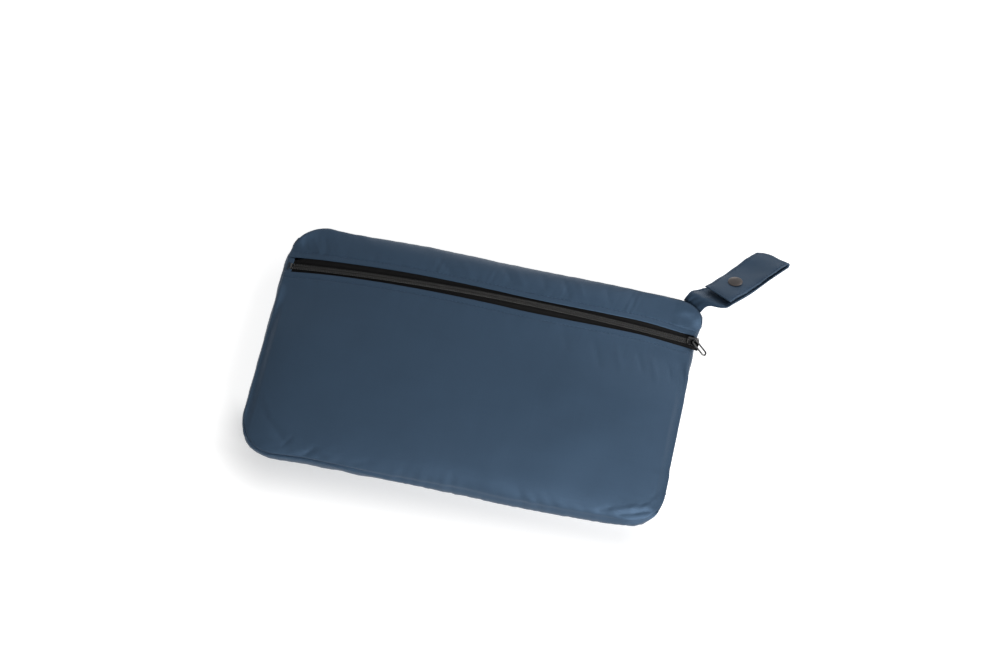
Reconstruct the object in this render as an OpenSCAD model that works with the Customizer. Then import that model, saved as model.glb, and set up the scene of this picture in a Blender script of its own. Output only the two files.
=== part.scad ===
// A soft baby carrier folded into its own zipped pouch, lying on its back.
// Millimetres. X runs along the pouch, Y towards its zipped top edge, Z up.
// The origin is the middle of the flat face that the pouch rests on.

/* [Pouch] */
// Widest part of the pouch along X
pouch_w = 300; // [292:1:310]
// Widest part of the pouch along Y
pouch_h = 169; // [167:1:178]
// How far the top edge stands to the right of the bottom edge
lean = 5.6; // [0:0.1:9]
// Corner radius, bottom left
corner_bl = 30; // [24:1:34]
// Corner radius, bottom right
corner_br = 25; // [22:1:34]
// Corner radius, top right
corner_tr = 19; // [18:1:22]
// Corner radius, top left
corner_tl = 33; // [24:1:34]
// Thickness of the pouch's cloth
cloth = 1.2; // [0.8:0.1:1.3]
// Height of the back seam above the table
back_seam_z = 5.6; // [4.6:0.1:7]
// Height of the front seam above the table
front_seam_z = 28; // [27:0.5:30]
// How far the gusset swells past the front seam
swell = 2.2; // [2:0.1:4]
// How far the back seam tucks in under the swell
tuck = 5; // [4:0.1:6]
// How far in from the swell the back panel starts to lie flat
flat_inset = 17; // [14:0.5:20]
// Gap left between two cloths at a seam
seam_gap = 0.2; // [0.15:0.05:0.3]

/* [Zipper] */
// Distance of the zipper's centre line from the pouch's middle
zip_y = 52; // [48:0.5:54]
// Height of the zipper's tapes at the middle of the pouch
zip_top = 44; // [43.5:0.5:48]
// How far the tapes fall from the middle to the widest point of a side
zip_drop = 22; // [20:0.5:23]
// Lean of the zipper's face towards the top edge
zip_tilt = 6; // [4:0.5:8]
// Width of the window between the two cloth edges
zip_window = 8.8; // [8.6:0.1:10]
// Width of one tape
tape_w = 10.5; // [9:0.5:11]
// Thickness of a tape
tape_t = 0.6; // [0.4:0.1:0.7]
// How far the tapes run past the widest point of a side
tape_over = 1.5; // [1:0.1:2.5]
// Width of the closed chain
chain_w = 4.4; // [4:0.1:4.6]
// Height of the coils above the tape
coil_h = 1.5; // [1.2:0.1:1.7]
// Slot between the two coils that the slider's post runs in
parting = 1; // [0.9:0.05:1.2]

/* [Slider] */
// Length of the slider
slider_l = 9; // [8:0.5:10]
// Width of the slider
slider_w = 7.6; // [7.4:0.1:8]
// Thickness of the slider's plates
plate_t = 1; // [0.8:0.1:1.2]
// Running gap between the slider and the chain
slider_gap = 0.3; // [0.25:0.05:0.4]
// Height of the pull's pivot above the upper plate
pivot_rise = 1.5; // [1.4:0.1:2]
// Length of the pull from its pivot to its tip
pull_l = 11; // [9:0.5:12]
// Wire diameter of the pull
wire_d = 1; // [0.8:0.1:1.1]
// Angle between the pull and the slider's length, seen from above
pull_yaw = 15; // [0:1:15]
// How far the pull hangs below the slider's face
pull_droop = 8; // [0:1:8]

/* [Strap] */
// Width of the strap
strap_w = 25; // [20:1:28]
// Width of the strap where it is gathered at the pouch
root_w = 12; // [10:1:13]
// Thickness of one ply
ply = 1.4; // [1:0.1:1.6]
// Gap between the two plies at the snap
ply_gap = 2.2; // [2:0.1:2.6]
// Length of the snapped loop, from its free end to its fold
loop_l = 61; // [50:1:63]
// Distance of the snap from the free end
snap_from_end = 19; // [14:0.5:25]
// Compass heading of the loop, from +X towards +Y
strap_heading = 49; // [44:1:54]
// Dip of the loop towards its fold
strap_dip = 21; // [18:1:22]
// Roll of the loop about its length
strap_roll = 27; // [22:1:28]
// Heading of the corner seam that the strap comes out of
root_heading = 55; // [50:1:60]
// Height of the strap's root above the table
root_z = 25.8; // [25.5:0.1:26.5]
// Height of the stitched anchor below the root
anchor_h = 6; // [4:0.5:8]

/* [Snap] */
// Diameter of the snap's cap
cap_d = 10.4; // [9:0.2:12]
// Height of the cap's dome
cap_h = 1.2; // [0.8:0.1:1.6]
// Diameter of the snap's socket, stud base and back washer
ring_d = 8.8; // [8:0.2:9.6]
// Diameter of the stud's head
stud_d = 3.8; // [3.4:0.1:4.2]
// Diameter of the shanks through the cloth
shank_d = 2.4; // [2:0.1:2.8]
// Running gap round the stud and the shanks
snap_gap = 0.3; // [0.2:0.05:0.4]

/* [Carrier] */
// Gap between folded layers
layer_gap = 0.3; // [0.25:0.05:0.4]
// Thickness of a padded layer, cover and foam together
pad_t = 5.4; // [5:0.1:5.5]
// Thickness of a pad's cover
cover_t = 0.8; // [0.6:0.1:0.9]
// Gap between a cover and its foam
foam_gap = 0.2; // [0.1:0.05:0.3]
// Room left at each end of the waist belt, inside the pouch
belt_end_room = 18.8; // [16:0.2:24]
// Room left at each side of the waist belt
belt_side_room = 19.3; // [17:0.1:28]
// Room left at each end of the body panel
panel_end_room = 15.8; // [13.8:0.2:24]
// Room left at each side of the body panel
panel_side_room = 9.3; // [8.3:0.1:13]
// Thickness of one layer of the body panel
panel_t = 2; // [1.6:0.1:2.1]
// Length of the folded shoulder straps
shoulder_l = 186; // [170:1:190]
// Room below the lower shoulder strap
row_foot_room = 5.3; // [5:0.1:8]
// Room above the head support
row_head_room = 3.3; // [3:0.1:6]
// Gap between the rows of straps and head support
row_gap = 2.5; // [1:0.1:4]
// Length of the folded head support
hood_l = 196; // [180:1:200]
// Width of the folded head support
hood_w = 43; // [38:1:44]
// Thickness of one layer of the head support
hood_t = 2; // [1.6:0.1:2.2]

/* [Webbing and buckles] */
// Width of the waist and shoulder webbing
webbing_w = 25; // [20:1:25]
// Width of the chest webbing
chest_w = 20; // [16:1:20]
// Thickness of the webbing
webbing_t = 1.3; // [1:0.1:1.4]
// Length of a hank of folded webbing
hank_l = 66; // [60:1:68]
// Length of the chest strap's hank
chest_hank_l = 44; // [38:1:46]
// Length of the right shoulder webbing's hank
short_hank_l = 40; // [34:1:44]
// Length of the waist buckle's socket
buckle_l = 34; // [30:1:36]
// Thickness of the waist buckle
buckle_t = 7.4; // [6.6:0.1:7.5]
// Length of the chest clip's socket
clip_l = 22; // [20:1:24]
// Thickness of the chest clip
clip_t = 6; // [5:0.1:6.5]
// Length of a ladder lock
lock_l = 24; // [20:1:26]
// Thickness of a ladder lock
lock_t = 4.6; // [4:0.1:5]
// Wall of the moulded buckles
mould_t = 1.6; // [1.4:0.1:1.8]
// Running gap between a tongue and its socket
tongue_gap = 0.35; // [0.3:0.05:0.4]
// Thickness of the elastic keepers
keeper_t = 0.8; // [0.6:0.1:1]
// Width of the elastic keepers
keeper_w = 12; // [8:1:16]

/* [Hidden] */

// Colours, as red, green and blue.
CLOTH = [0.20, 0.26, 0.33];
STRAP = [0.22, 0.29, 0.36];
TAPE = [0.11, 0.11, 0.11];
COIL = [0.17, 0.17, 0.16];
METAL = [0.36, 0.34, 0.33];
BINDING = [0.13, 0.17, 0.22];
FOAM = [0.85, 0.84, 0.80];
WEBBING = [0.12, 0.13, 0.15];
MOULD = [0.09, 0.09, 0.10];

half_w = pouch_w / 2;
half_h = pouch_h / 2;
seam_w = half_w - swell;
seam_h = half_h - swell;
shear = lean / pouch_h;

// The tapes lie on an arc about an axis along Y, deep below the table.
zip_r = (half_w * half_w + zip_drop * zip_drop) / (2 * zip_drop);
zip_axis_z = zip_top - zip_r;
zip_x = shear * zip_y;
face_rise = tape_t / 2 + seam_gap + cloth / 2;
window_half = zip_window / 2;
tape_half = parting / 2 + tape_w;
coil_lift = tape_t / 2 + 0.1;
coil_top = coil_lift + coil_h;
tape_end = half_w + tape_over;

// Lengthwise places along the zipper, measured from its middle.
stop_l = 1.2;
stop_end = tape_end - 0.3;
coil_right = stop_end - stop_l - 0.1;
coil_left = -tape_end + 4;
slider_x = stop_end - stop_l - 0.3 - slider_l / 2 + 1.4;
slider_x_min = coil_left + slider_l / 2 + 2;
slider_angle = asin(slider_x / zip_r);
slider_angle_min = asin(slider_x_min / zip_r);

// Heights in the slider's own frame, above the middle of the tapes.
upper_z = coil_top + slider_gap;
lower_z = -tape_t / 2 - slider_gap - plate_t;
pivot_z = upper_z + plate_t + pivot_rise;
post_w = 0.5;
flange_t = 0.7;
arch_r = 0.95;
arch_t = 0.65;
arch_half = 0.6;
pull_half = 1.75;

// How the front seam runs: it drops and swells out where the zipper crosses it, and the
// gusset's edge is cut lower under the tapes, and lower still under the slider.
dip_flat = tape_half + 0.5;
dip_fade = 14;
tape_room = 0.7;
tape_fade = 6;
notch_flat = slider_w / 2 + 0.8;
notch_fade = 4;
notch_depth = 2.6;
end_inset = 0.4;
edge_drop = 1.1;

// The counts that set how finely the cloth is drawn.
columns = 30;
lower_rows = 13;
upper_rows = 8;
corner_steps = 7;
long_steps = 10;
side_steps = 22;
gusset_steps = 5;

function clamp01(t) = max(0, min(1, t));
function smooth(t) = clamp01(t) * clamp01(t) * (3 - 2 * clamp01(t));
function mix(a, b, t) = a + (b - a) * t;
function leaned(p) = [p[0] + shear * p[1], p[1], p[2]];

// ---- The pouch's outline ----

// A point of the outline and the direction that points out of the pouch there.
function corner_points(cx, cy, r, from) = [
  for (i = [0 : corner_steps])
    let (a = from + 90 * i / corner_steps)
    [cx + r * cos(a), cy + r * sin(a), cos(a), sin(a)]
];
function edge_points(a, b, n) = [
  for (i = [1 : n - 1]) [mix(a[0], b[0], i / n), mix(a[1], b[1], i / n), a[2], a[3]]
];
corner_1 = corner_points(half_w - corner_tr, half_h - corner_tr, corner_tr, 0);
corner_2 = corner_points(corner_tl - half_w, half_h - corner_tl, corner_tl, 90);
corner_3 = corner_points(corner_bl - half_w, corner_bl - half_h, corner_bl, 180);
corner_4 = corner_points(half_w - corner_br, corner_br - half_h, corner_br, 270);
outline = concat(
  corner_1, edge_points(corner_1[corner_steps], corner_2[0], long_steps),
  corner_2, edge_points(corner_2[corner_steps], corner_3[0], side_steps),
  corner_3, edge_points(corner_3[corner_steps], corner_4[0], long_steps),
  corner_4, edge_points(corner_4[corner_steps], corner_1[0], side_steps)
);

// Height of a cloth that lies on the tapes, w across them and h above them.
function tape_z(x, w, h) =
  zip_axis_z + sqrt(pow(zip_r + h * cos(zip_tilt) - w * sin(zip_tilt), 2) - x * x);
function tape_y(w, h) = zip_y + w * cos(zip_tilt) + h * sin(zip_tilt);
function on_tape_z(x, y) = tape_z(x, (y - zip_y - face_rise * sin(zip_tilt)) / cos(zip_tilt), face_rise);
function rim_z(x, y, side) = mix(front_seam_z, on_tape_z(x, y), at_zip_end(y) * side);

// How near a point of a side seam is to the zipper: 1 at it, 0 away from it.
function near_zip(y, flat, fade) = 1 - smooth((abs(y - zip_y) - flat) / fade);
function at_zip_end(y) = near_zip(y, dip_flat, dip_fade);
function side_weight(nx) = smooth((abs(nx) - 0.7) / 0.25);
function seam_inset(y, side) = mix(swell, end_inset, at_zip_end(y) * side);
function seam_z(y, side) = rim_z(half_w - end_inset, y, side);
function gusset_top(y, side) =
  seam_z(y, side) - edge_drop
    - side * (tape_room * near_zip(y, dip_flat, tape_fade) + notch_depth * near_zip(y, notch_flat, notch_fade));

// One loop round the outline, at an inset and a height that may change along it.
function inset_point(p, inset, z) = leaned([p[0] - p[2] * inset, p[1] - p[3] * inset, z]);
function plain_loop(inset, z) = [for (p = outline) inset_point(p, inset, z)];

// The middle of a loop of points, which a flat cap fans out from.
function middle(loop) = [for (k = [0 : 2]) mean([for (p = loop) p[k]])];
function mean(v) = [for (p = v) 1] * v / len(v);

// A solid swept through a list of loops, closed by two flat caps or back on itself.
module loops_solid(loops, ring) {
  n = len(loops[0]);
  m = len(loops);
  last = ring ? m - 1 : m - 2;
  points = concat([for (l = loops) for (p = l) p], [middle(loops[0]), middle(loops[m - 1])]);
  walls = [
    for (k = [0 : last]) for (s = [0 : n - 1])
      let (a = k * n, b = ((k + 1) % m) * n, t = (s + 1) % n)
      for (f = [[a + s, b + s, b + t], [a + s, b + t, a + t]]) f
  ];
  caps = ring ? [] : [
    for (s = [0 : n - 1]) let (t = (s + 1) % n, top = (m - 1) * n)
      for (f = [[s, t, m * n], [top + t, top + s, m * n + 1]]) f
  ];
  polyhedron(points, concat(walls, caps), convexity = 8);
}

// A sheet of cloth of even thickness about a grid of points.
function grid_normal(g, i, j) =
  let (
    a = g[min(i + 1, len(g) - 1)][j] - g[max(i - 1, 0)][j],
    b = g[i][min(j + 1, len(g[0]) - 1)] - g[i][max(j - 1, 0)],
    n = cross(a, b)
  ) n / norm(n);

module sheet_solid(g, t) {
  ni = len(g);
  nj = len(g[0]);
  skin = ni * nj;
  points = [
    for (side = [1, -1]) for (i = [0 : ni - 1]) for (j = [0 : nj - 1])
      g[i][j] + side * t / 2 * grid_normal(g, i, j)
  ];
  faces = [
    for (i = [0 : ni - 2]) for (j = [0 : nj - 2])
      let (a = i * nj + j, b = a + 1, c = a + nj + 1, d = a + nj)
      for (f = [[a, b, c], [a, c, d], [skin + a, skin + c, skin + b], [skin + a, skin + d, skin + c]]) f
  ];
  ends = [
    for (j = [0 : nj - 2])
      let (a = j, b = j + 1, c = (ni - 1) * nj + j, d = c + 1)
      for (f = [[b, a, skin + a], [b, skin + a, skin + b], [d, skin + c, c], [d, skin + d, skin + c]]) f
  ];
  sides = [
    for (i = [0 : ni - 2])
      let (a = i * nj, b = a + nj, c = a + nj - 1, d = c + nj)
      for (f = [[a, b, skin + b], [a, skin + b, skin + a], [c, skin + d, d], [c, skin + c, skin + d]]) f
  ];
  polyhedron(points, concat(faces, ends, sides), convexity = 8);
}

// ---- The pouch's face ----

// How much of the face's width a corner of radius r takes off at y, and how far up or down the
// face reaches at x. Beyond row_stop the rows follow the corner itself.
row_stop = tape_y(tape_half, face_rise) + 1.5;
function corner_loss(y, r) =
  let (up = min(y, row_stop) - (seam_h - r)) up <= 0 ? 0 : r - sqrt(max(0, r * r - up * up));
function corner_reach(x, r) =
  let (d = x - (seam_w - r)) d <= 0 ? seam_h : seam_h - r + sqrt(max(0, r * r - d * d));
function top_corner(c) = (c > 0 ? corner_tr : corner_tl) - swell;
function bottom_corner(c) = (c > 0 ? corner_br : corner_bl) - swell;
function face_x(c, y) = c * (half_w - seam_inset(y, 1) - corner_loss(y, top_corner(c)));
function top_y(c) = corner_reach(abs(c) * (seam_w - corner_loss(row_stop, top_corner(c))), top_corner(c));
function bottom_y(c) = -corner_reach(abs(c) * seam_w, bottom_corner(c));

// Columns stand closer together towards the sides, where the outline turns.
function column(i) = sin(90 * mix(-1, 1, i / columns)) * (1 - 0.12) + 0.12 * mix(-1, 1, i / columns);

// How full the face stands away from the zipper, across its width.
function plump(c) = pow(1 - pow(abs(c), 3.5), 0.55);

lower_edge_y = tape_y(-window_half, face_rise);
lower_tape_y = tape_y(-tape_half, face_rise);
upper_edge_y = tape_y(window_half, face_rise);
upper_tape_y = tape_y(tape_half, face_rise);
crown_z = tape_z(0, -tape_half, face_rise);

// The face keeps to the seam's height at its very edge, and swells up within a short way of it.
edge_share = 0.05;
function off_edge(c) = smooth((1 - abs(c)) / edge_share);
function lower_face_z(c, y, reach) =
  let (
    x = face_x(c, y) + shear * (y - zip_y),
    d = max(0, lower_tape_y - y),
    s = clamp01(d / (lower_tape_y - reach)),
    full = front_seam_z + (crown_z - front_seam_z) * plump(c),
    base = mix(on_tape_z(x, max(y, lower_tape_y)), full, smooth(s / 0.4)),
    rise = tan(zip_tilt) * d * pow(1 - s, 4) * (1 - c * c),
    inner = front_seam_z + (base - front_seam_z) * pow(1 - pow(s, 3.4), 0.52) + rise
  )
  mix(rim_z(x, y, 1), inner, off_edge(c));
function upper_face_z(c, y, reach) =
  let (
    x = face_x(c, y) + shear * (y - zip_y),
    s = clamp01((y - upper_tape_y) / max(1, reach - upper_tape_y)),
    near = on_tape_z(x, min(y, upper_tape_y)),
    fall = near > front_seam_z ? pow(1 - pow(s, 2.2), 0.5) : 1 - smooth(s / 0.4),
    inner = front_seam_z + (near - front_seam_z) * fall
  )
  mix(rim_z(x, y, 1), inner, off_edge(c));

// Rows: the cloth's edge at the zipper, the tape's far edge, then on to the seam.
function lower_row(j, reach) =
  j == 0 ? lower_edge_y
    : mix(lower_tape_y, reach, sin(90 * (j - 1) / (lower_rows - 1)) * 0.75 + 0.25 * (j - 1) / (lower_rows - 1));
function upper_row(j, reach) =
  j == 0 ? upper_edge_y
    : mix(upper_tape_y, reach, sin(90 * (j - 1) / (upper_rows - 1)) * 0.85 + 0.15 * (j - 1) / (upper_rows - 1));

front_grid = [
  for (i = [0 : columns])
    let (c = column(i), reach = bottom_y(c))
    [for (j = [lower_rows : -1 : 0])
      let (y = lower_row(j, reach))
      leaned([face_x(c, y), y, lower_face_z(c, y, reach)])]
];
top_grid = [
  for (i = [0 : columns])
    let (c = column(i), reach = top_y(c))
    [for (j = [0 : upper_rows])
      let (y = upper_row(j, reach))
      leaned([face_x(c, y), y, upper_face_z(c, y, reach)])]
];

module front_panel() {
  color(CLOTH) sheet_solid(front_grid, cloth);
}

module top_band() {
  color(CLOTH) sheet_solid(top_grid, cloth);
}

// ---- The gusset, the back and the seams ----

// The gusset's inset at a share t of its height: tucked in, full, then in to the seam.
function gusset_inset(t, rim) =
  tuck * (2 * t - 1) * (t - 1) + rim * t * (2 * t - 1) + cloth / 2;
gusset_foot_z = back_seam_z;

function gusset_loop(t, out) = [
  for (p = outline)
    let (
      side = side_weight(p[2]),
      rim = seam_inset(p[1], side),
      top = gusset_top(p[1], side)
    )
    inset_point(p, gusset_inset(t, rim) - out * cloth / 2, mix(gusset_foot_z, top, t))
];

module side_gusset() {
  color(CLOTH)
    loops_solid(concat(
      [for (k = [0 : gusset_steps]) gusset_loop(k / gusset_steps, 1)],
      [for (k = [gusset_steps : -1 : 0]) gusset_loop(k / gusset_steps, -1)]
    ), true);
}

rim_z = back_seam_z - seam_gap;
module back_panel() {
  color(CLOTH)
    loops_solid([
      plain_loop(flat_inset, 0),
      plain_loop(mix(tuck, flat_inset, 0.6), 0.13 * rim_z),
      plain_loop(mix(tuck, flat_inset, 0.25), 0.42 * rim_z),
      plain_loop(tuck, rim_z),
      plain_loop(tuck + cloth, rim_z),
      plain_loop(mix(tuck, flat_inset, 0.3) + 0.8 * cloth, 0.42 * rim_z + 0.6 * cloth),
      plain_loop(mix(tuck, flat_inset, 0.65) + 0.2 * cloth, 0.13 * rim_z + cloth),
      plain_loop(flat_inset, cloth)
    ], false);
}

// A bound edge inside a seam: a band of its own height against the gusset's inner face.
binding_t = 1.4;
binding_h = 3.4;
binding_gap = 0.3;
function front_binding_loop(out, z) = [
  for (p = outline)
    let (
      side = side_weight(p[2]),
      rim = seam_inset(p[1], side),
      top = gusset_top(p[1], side) - binding_gap
    )
    inset_point(p, rim + cloth + binding_gap + out * binding_t, top - z)
];

module front_seam_binding() {
  color(BINDING)
    loops_solid([
      front_binding_loop(0, binding_h), front_binding_loop(0, 0),
      front_binding_loop(1, 0), front_binding_loop(1, binding_h)
    ], true);
}

module back_seam_binding() {
  foot = back_seam_z + binding_gap;
  inner = tuck + cloth + binding_gap;
  color(BINDING)
    loops_solid([
      plain_loop(inner, foot), plain_loop(inner - 0.9, foot + binding_h),
      plain_loop(inner + binding_t - 0.9, foot + binding_h), plain_loop(inner + binding_t, foot)
    ], true);
}

// ---- The zipper ----

// Sweeps a profile along the zipper's arc: h up from the tapes, w across them.
module along_zip(x0, x1) {
  a0 = asin(x0 / zip_r);
  a1 = asin(x1 / zip_r);
  translate([zip_x, zip_y, zip_axis_z])
    rotate([-90, 0, 0])
      rotate([0, 0, a0 - 90])
        rotate_extrude(angle = a1 - a0, $fn = 720)
          translate([zip_r, 0])
            rotate(zip_tilt)
              children();
}

module zip_box(h0, h1, w0, w1) {
  translate([h0, w0]) square([h1 - h0, w1 - w0]);
}

module zipper_tape_lower() {
  color(TAPE) along_zip(-tape_end, tape_end) zip_box(-tape_t / 2, tape_t / 2, -tape_half, -parting / 2);
}

module zipper_tape_upper() {
  color(TAPE) along_zip(-tape_end, tape_end) zip_box(-tape_t / 2, tape_t / 2, parting / 2, tape_half);
}

module zipper_coil_lower() {
  color(COIL) along_zip(coil_left, coil_right) zip_box(coil_lift, coil_top, -chain_w / 2, -parting / 2);
}

module zipper_coil_upper() {
  color(COIL) along_zip(coil_left, coil_right) zip_box(coil_lift, coil_top, parting / 2, chain_w / 2);
}

module zipper_bottom_stop() {
  color(METAL) along_zip(coil_left - 0.1 - stop_l, coil_left - 0.1) zip_box(coil_lift, coil_top, -chain_w / 2, chain_w / 2);
}

module zipper_top_stops() {
  color(METAL)
    for (side = [-1, 1])
      along_zip(stop_end - stop_l, stop_end)
        zip_box(coil_lift, coil_top, side > 0 ? parting / 2 : -chain_w / 2, side > 0 ? chain_w / 2 : -parting / 2);
}

module zipper_end_tab() {
  tab_w = chain_w / 2 + 1;
  color(BINDING) along_zip(-tape_end + 0.2, coil_left - 0.4 - stop_l) zip_box(coil_lift, coil_lift + cloth, -tab_w, tab_w);
}

// The slider's own frame: X along the zipper, Z out of its face.
module on_slider() {
  translate([zip_x, zip_y, zip_axis_z])
    rotate([0, slider_angle, 0])
      translate([0, 0, zip_r])
        rotate([-zip_tilt, 0, 0])
          children();
}

module slider_plate(z) {
  rear = slider_w / 2 - 0.8;
  front = slider_w / 2;
  translate([0, 0, z])
    linear_extrude(plate_t)
      polygon([
        [-slider_l / 2, -rear + 0.6], [-slider_l / 2 + 0.6, -rear], [-0.5, -rear],
        [slider_l / 2 - 3, -front], [slider_l / 2 - 1, -front], [slider_l / 2, -front + 1.4],
        [slider_l / 2, front - 1.4], [slider_l / 2 - 1, front], [slider_l / 2 - 3, front],
        [-0.5, rear], [-slider_l / 2 + 0.6, rear], [-slider_l / 2, rear - 0.6]
      ]);
}

module slider_body() {
  rear = slider_w / 2 - 0.8;
  color(METAL) on_slider() {
    slider_plate(upper_z);
    slider_plate(lower_z);
    translate([0.8, -post_w / 2, lower_z]) cube([2.4, post_w, upper_z - lower_z + plate_t]);
    for (side = [0, 1])
      mirror([0, side, 0])
        translate([-slider_l / 2 + 0.8, rear - flange_t, coil_lift + 0.6])
          cube([slider_l / 2 + 0.2, flange_t, upper_z - coil_lift - 0.5]);
    translate([0, arch_half, pivot_z])
      rotate([90, 0, 0])
        linear_extrude(2 * arch_half)
          difference() {
            union() {
              circle(arch_r + arch_t, $fn = 48);
              translate([-arch_r - arch_t, -pivot_rise - 0.1]) square([2 * (arch_r + arch_t), pivot_rise + 0.1]);
            }
            circle(arch_r, $fn = 48);
            translate([-arch_r, -pivot_rise]) square([2 * arch_r, pivot_rise]);
          }
  }
}

// The pull is a closed wire loop: a bar under the arch, two legs and a round end.
module pull_loop() {
  wire = wire_d / 2;
  leg = pull_l - wire - pull_half;
  color(METAL) on_slider()
    translate([0, 0, pivot_z])
      rotate([0, 0, -pull_yaw])
        rotate([0, pull_droop, 0]) {
          rotate([90, 0, 0]) cylinder(r = wire, h = 2 * pull_half, center = true, $fn = 32);
          for (side = [-1, 1]) translate([0, side * pull_half, 0]) {
            sphere(r = wire, $fn = 32);
            rotate([0, 90, 0]) cylinder(r = wire, h = leg, $fn = 32);
          }
          translate([leg, 0, 0])
            rotate([0, 0, -90])
              rotate_extrude(angle = 180, $fn = 64) translate([pull_half, 0]) circle(wire, $fn = 32);
        }
}

// ---- The strap ----

root_side = [sin(root_heading), -cos(root_heading), 0];
root_out = [cos(root_heading), sin(root_heading), 0];
root_share = (root_z - gusset_foot_z) / (front_seam_z - edge_drop - gusset_foot_z);
root_r = corner_tr - gusset_inset(root_share, swell) + cloth / 2 + seam_gap + ply / 2;
corner_centre = leaned([half_w - corner_tr, half_h - corner_tr, 0]);
strap_root = corner_centre + root_r * root_out + [0, 0, root_z];

// The loop's own axes: along its length, across to its left, and out of its face.
function turn_z(v, a) = [v[0] * cos(a) - v[1] * sin(a), v[0] * sin(a) + v[1] * cos(a), v[2]];
function turn_y(v, a) = [v[0] * cos(a) + v[2] * sin(a), v[1], v[2] * cos(a) - v[0] * sin(a)];
function turn_x(v, a) = [v[0], v[1] * cos(a) - v[2] * sin(a), v[1] * sin(a) + v[2] * cos(a)];
function loop_turn(v) = turn_z(turn_y(turn_x(v, -strap_roll), strap_dip), strap_heading);
loop_along = loop_turn([1, 0, 0]);
loop_left = loop_turn([0, 1, 0]);
loop_face = loop_turn([0, 0, 1]);

// Where the flap's free end lies, from the strap's root: out along X and Y, and up.
loop_start = strap_root + [16.5, 5.5, 4];
hump_reach = 9;
hump_back = 7;
hump_rise = 50;

module on_loop() {
  translate(loop_start)
    rotate([0, 0, strap_heading])
      rotate([0, strap_dip, 0])
        rotate([-strap_roll, 0, 0])
          children();
}

function bezier(a, b, c, d, t) =
  pow(1 - t, 3) * a + 3 * t * pow(1 - t, 2) * b + 3 * t * t * (1 - t) * c + pow(t, 3) * d;
hump_start = root_out * cos(hump_rise) + [0, 0, sin(hump_rise)];
hump_steps = 9;
fold_steps = 5;
fold_turn = 115;
fold_r = (ply + ply_gap) / 2;
across_steps = 3;

function hump_point(t) =
  bezier(strap_root, strap_root + hump_reach * hump_start,
    loop_start - hump_back * loop_along, loop_start, t);
function hump_side(t) = mix(root_w / 2 * root_side, -strap_w / 2 * loop_left, smooth(t * 1.15));
function loop_point(x, n) = loop_start + x * loop_along + n * loop_face;

// The strap's middle line and half width, root first, then the loop, then round its fold.
strap_line = concat(
  [for (i = [0 : hump_steps]) [hump_point(i / hump_steps), hump_side(i / hump_steps)]],
  [[loop_point(loop_l, 0), -strap_w / 2 * loop_left]],
  [for (i = [1 : fold_steps])
    let (a = fold_turn * i / fold_steps)
    [loop_point(loop_l + fold_r * sin(a), fold_r * (1 - cos(a))), -strap_w / 2 * loop_left]]
);
strap_grid = [
  for (s = strap_line) [for (j = [0 : across_steps]) s[0] + s[1] * mix(1, -1, j / across_steps)]
];

module strap_lower() {
  color(STRAP)
    difference() {
      sheet_solid(strap_grid, ply);
      on_loop() translate([snap_from_end, 0, -2 * ply]) cylinder(d = shank_d + 2 * snap_gap, h = 4 * ply, $fn = 32);
    }
}

// The strap's end is stitched to the corner of the gusset, under the front seam.
anchor_steps = 6;
anchor_rows = 3;
anchor_top = root_z - ply / 2 - 0.2;
anchor_sweep = root_w / corner_tr * 180 / PI;
function anchor_point(i, j) =
  let (
    a = root_heading + anchor_sweep * mix(-0.5, 0.5, i / anchor_steps),
    z = mix(anchor_top - anchor_h, anchor_top, j / anchor_rows),
    t = (z - gusset_foot_z) / (front_seam_z - edge_drop - gusset_foot_z),
    r = corner_tr - gusset_inset(t, swell) + cloth / 2 + seam_gap + ply / 2
  )
  leaned([half_w - corner_tr + r * cos(a), half_h - corner_tr + r * sin(a), z]);
anchor_grid = [
  for (i = [0 : anchor_steps]) [for (j = [0 : anchor_rows]) anchor_point(anchor_steps - i, anchor_rows - j)]
];

module strap_anchor() {
  color(STRAP) sheet_solid(anchor_grid, ply);
}

// The flap turns on a line at the head of the fold; its inner end is round about it.
flap_z = ply + ply_gap;
flap_x = loop_l - 0.2;

module strap_flap() {
  color(STRAP) on_loop()
    difference() {
      union() {
        translate([0, -strap_w / 2, flap_z - ply / 2]) cube([flap_x, strap_w, ply]);
        translate([flap_x, strap_w / 2, flap_z]) rotate([90, 0, 0]) cylinder(d = ply, h = strap_w, $fn = 48);
      }
      translate([snap_from_end, 0, flap_z - ply]) cylinder(d = shank_d + 2 * snap_gap, h = 2 * ply, $fn = 48);
    }
}

// ---- The snap ----

base_t = 0.5;
head_t = 0.6;
socket_t = ply_gap - base_t - 0.4;

module on_snap(z) {
  on_loop() translate([snap_from_end, 0, z]) children();
}

module snap_stud() {
  color(METAL) on_snap(ply / 2) {
    cylinder(d = ring_d, h = base_t, $fn = 64);
    cylinder(d = stud_d - 0.8, h = ply_gap - 0.4 - head_t, $fn = 48);
    translate([0, 0, ply_gap - 0.4 - head_t]) cylinder(d = stud_d, h = head_t, $fn = 48);
    translate([0, 0, -ply]) cylinder(d = shank_d, h = ply + base_t, $fn = 48);
  }
}

module snap_back() {
  color(METAL) on_snap(-ply / 2 - 0.6) cylinder(d = ring_d, h = 0.6, $fn = 64);
}

module snap_socket() {
  color(METAL) on_snap(flap_z - ply / 2 - socket_t)
    difference() {
      cylinder(d = ring_d, h = socket_t, $fn = 64);
      translate([0, 0, -1]) cylinder(d = stud_d + 2 * snap_gap, h = socket_t + 2, $fn = 48);
    }
}

// A domed cap, a slice of a ball, with a shank through the flap.
cap_ball_r = (cap_d * cap_d / 4 + cap_h * cap_h) / (2 * cap_h);
module snap_cap() {
  color(METAL) on_snap(flap_z + ply / 2) {
    intersection() {
      translate([0, 0, cap_h - cap_ball_r]) sphere(r = cap_ball_r, $fn = 96);
      cylinder(d = cap_d, h = 2 * cap_h, $fn = 96);
    }
    translate([0, 0, -ply]) cylinder(d = shank_d, h = ply + cap_h / 2, $fn = 48);
  }
}

// ---- The folded carrier ----

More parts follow.
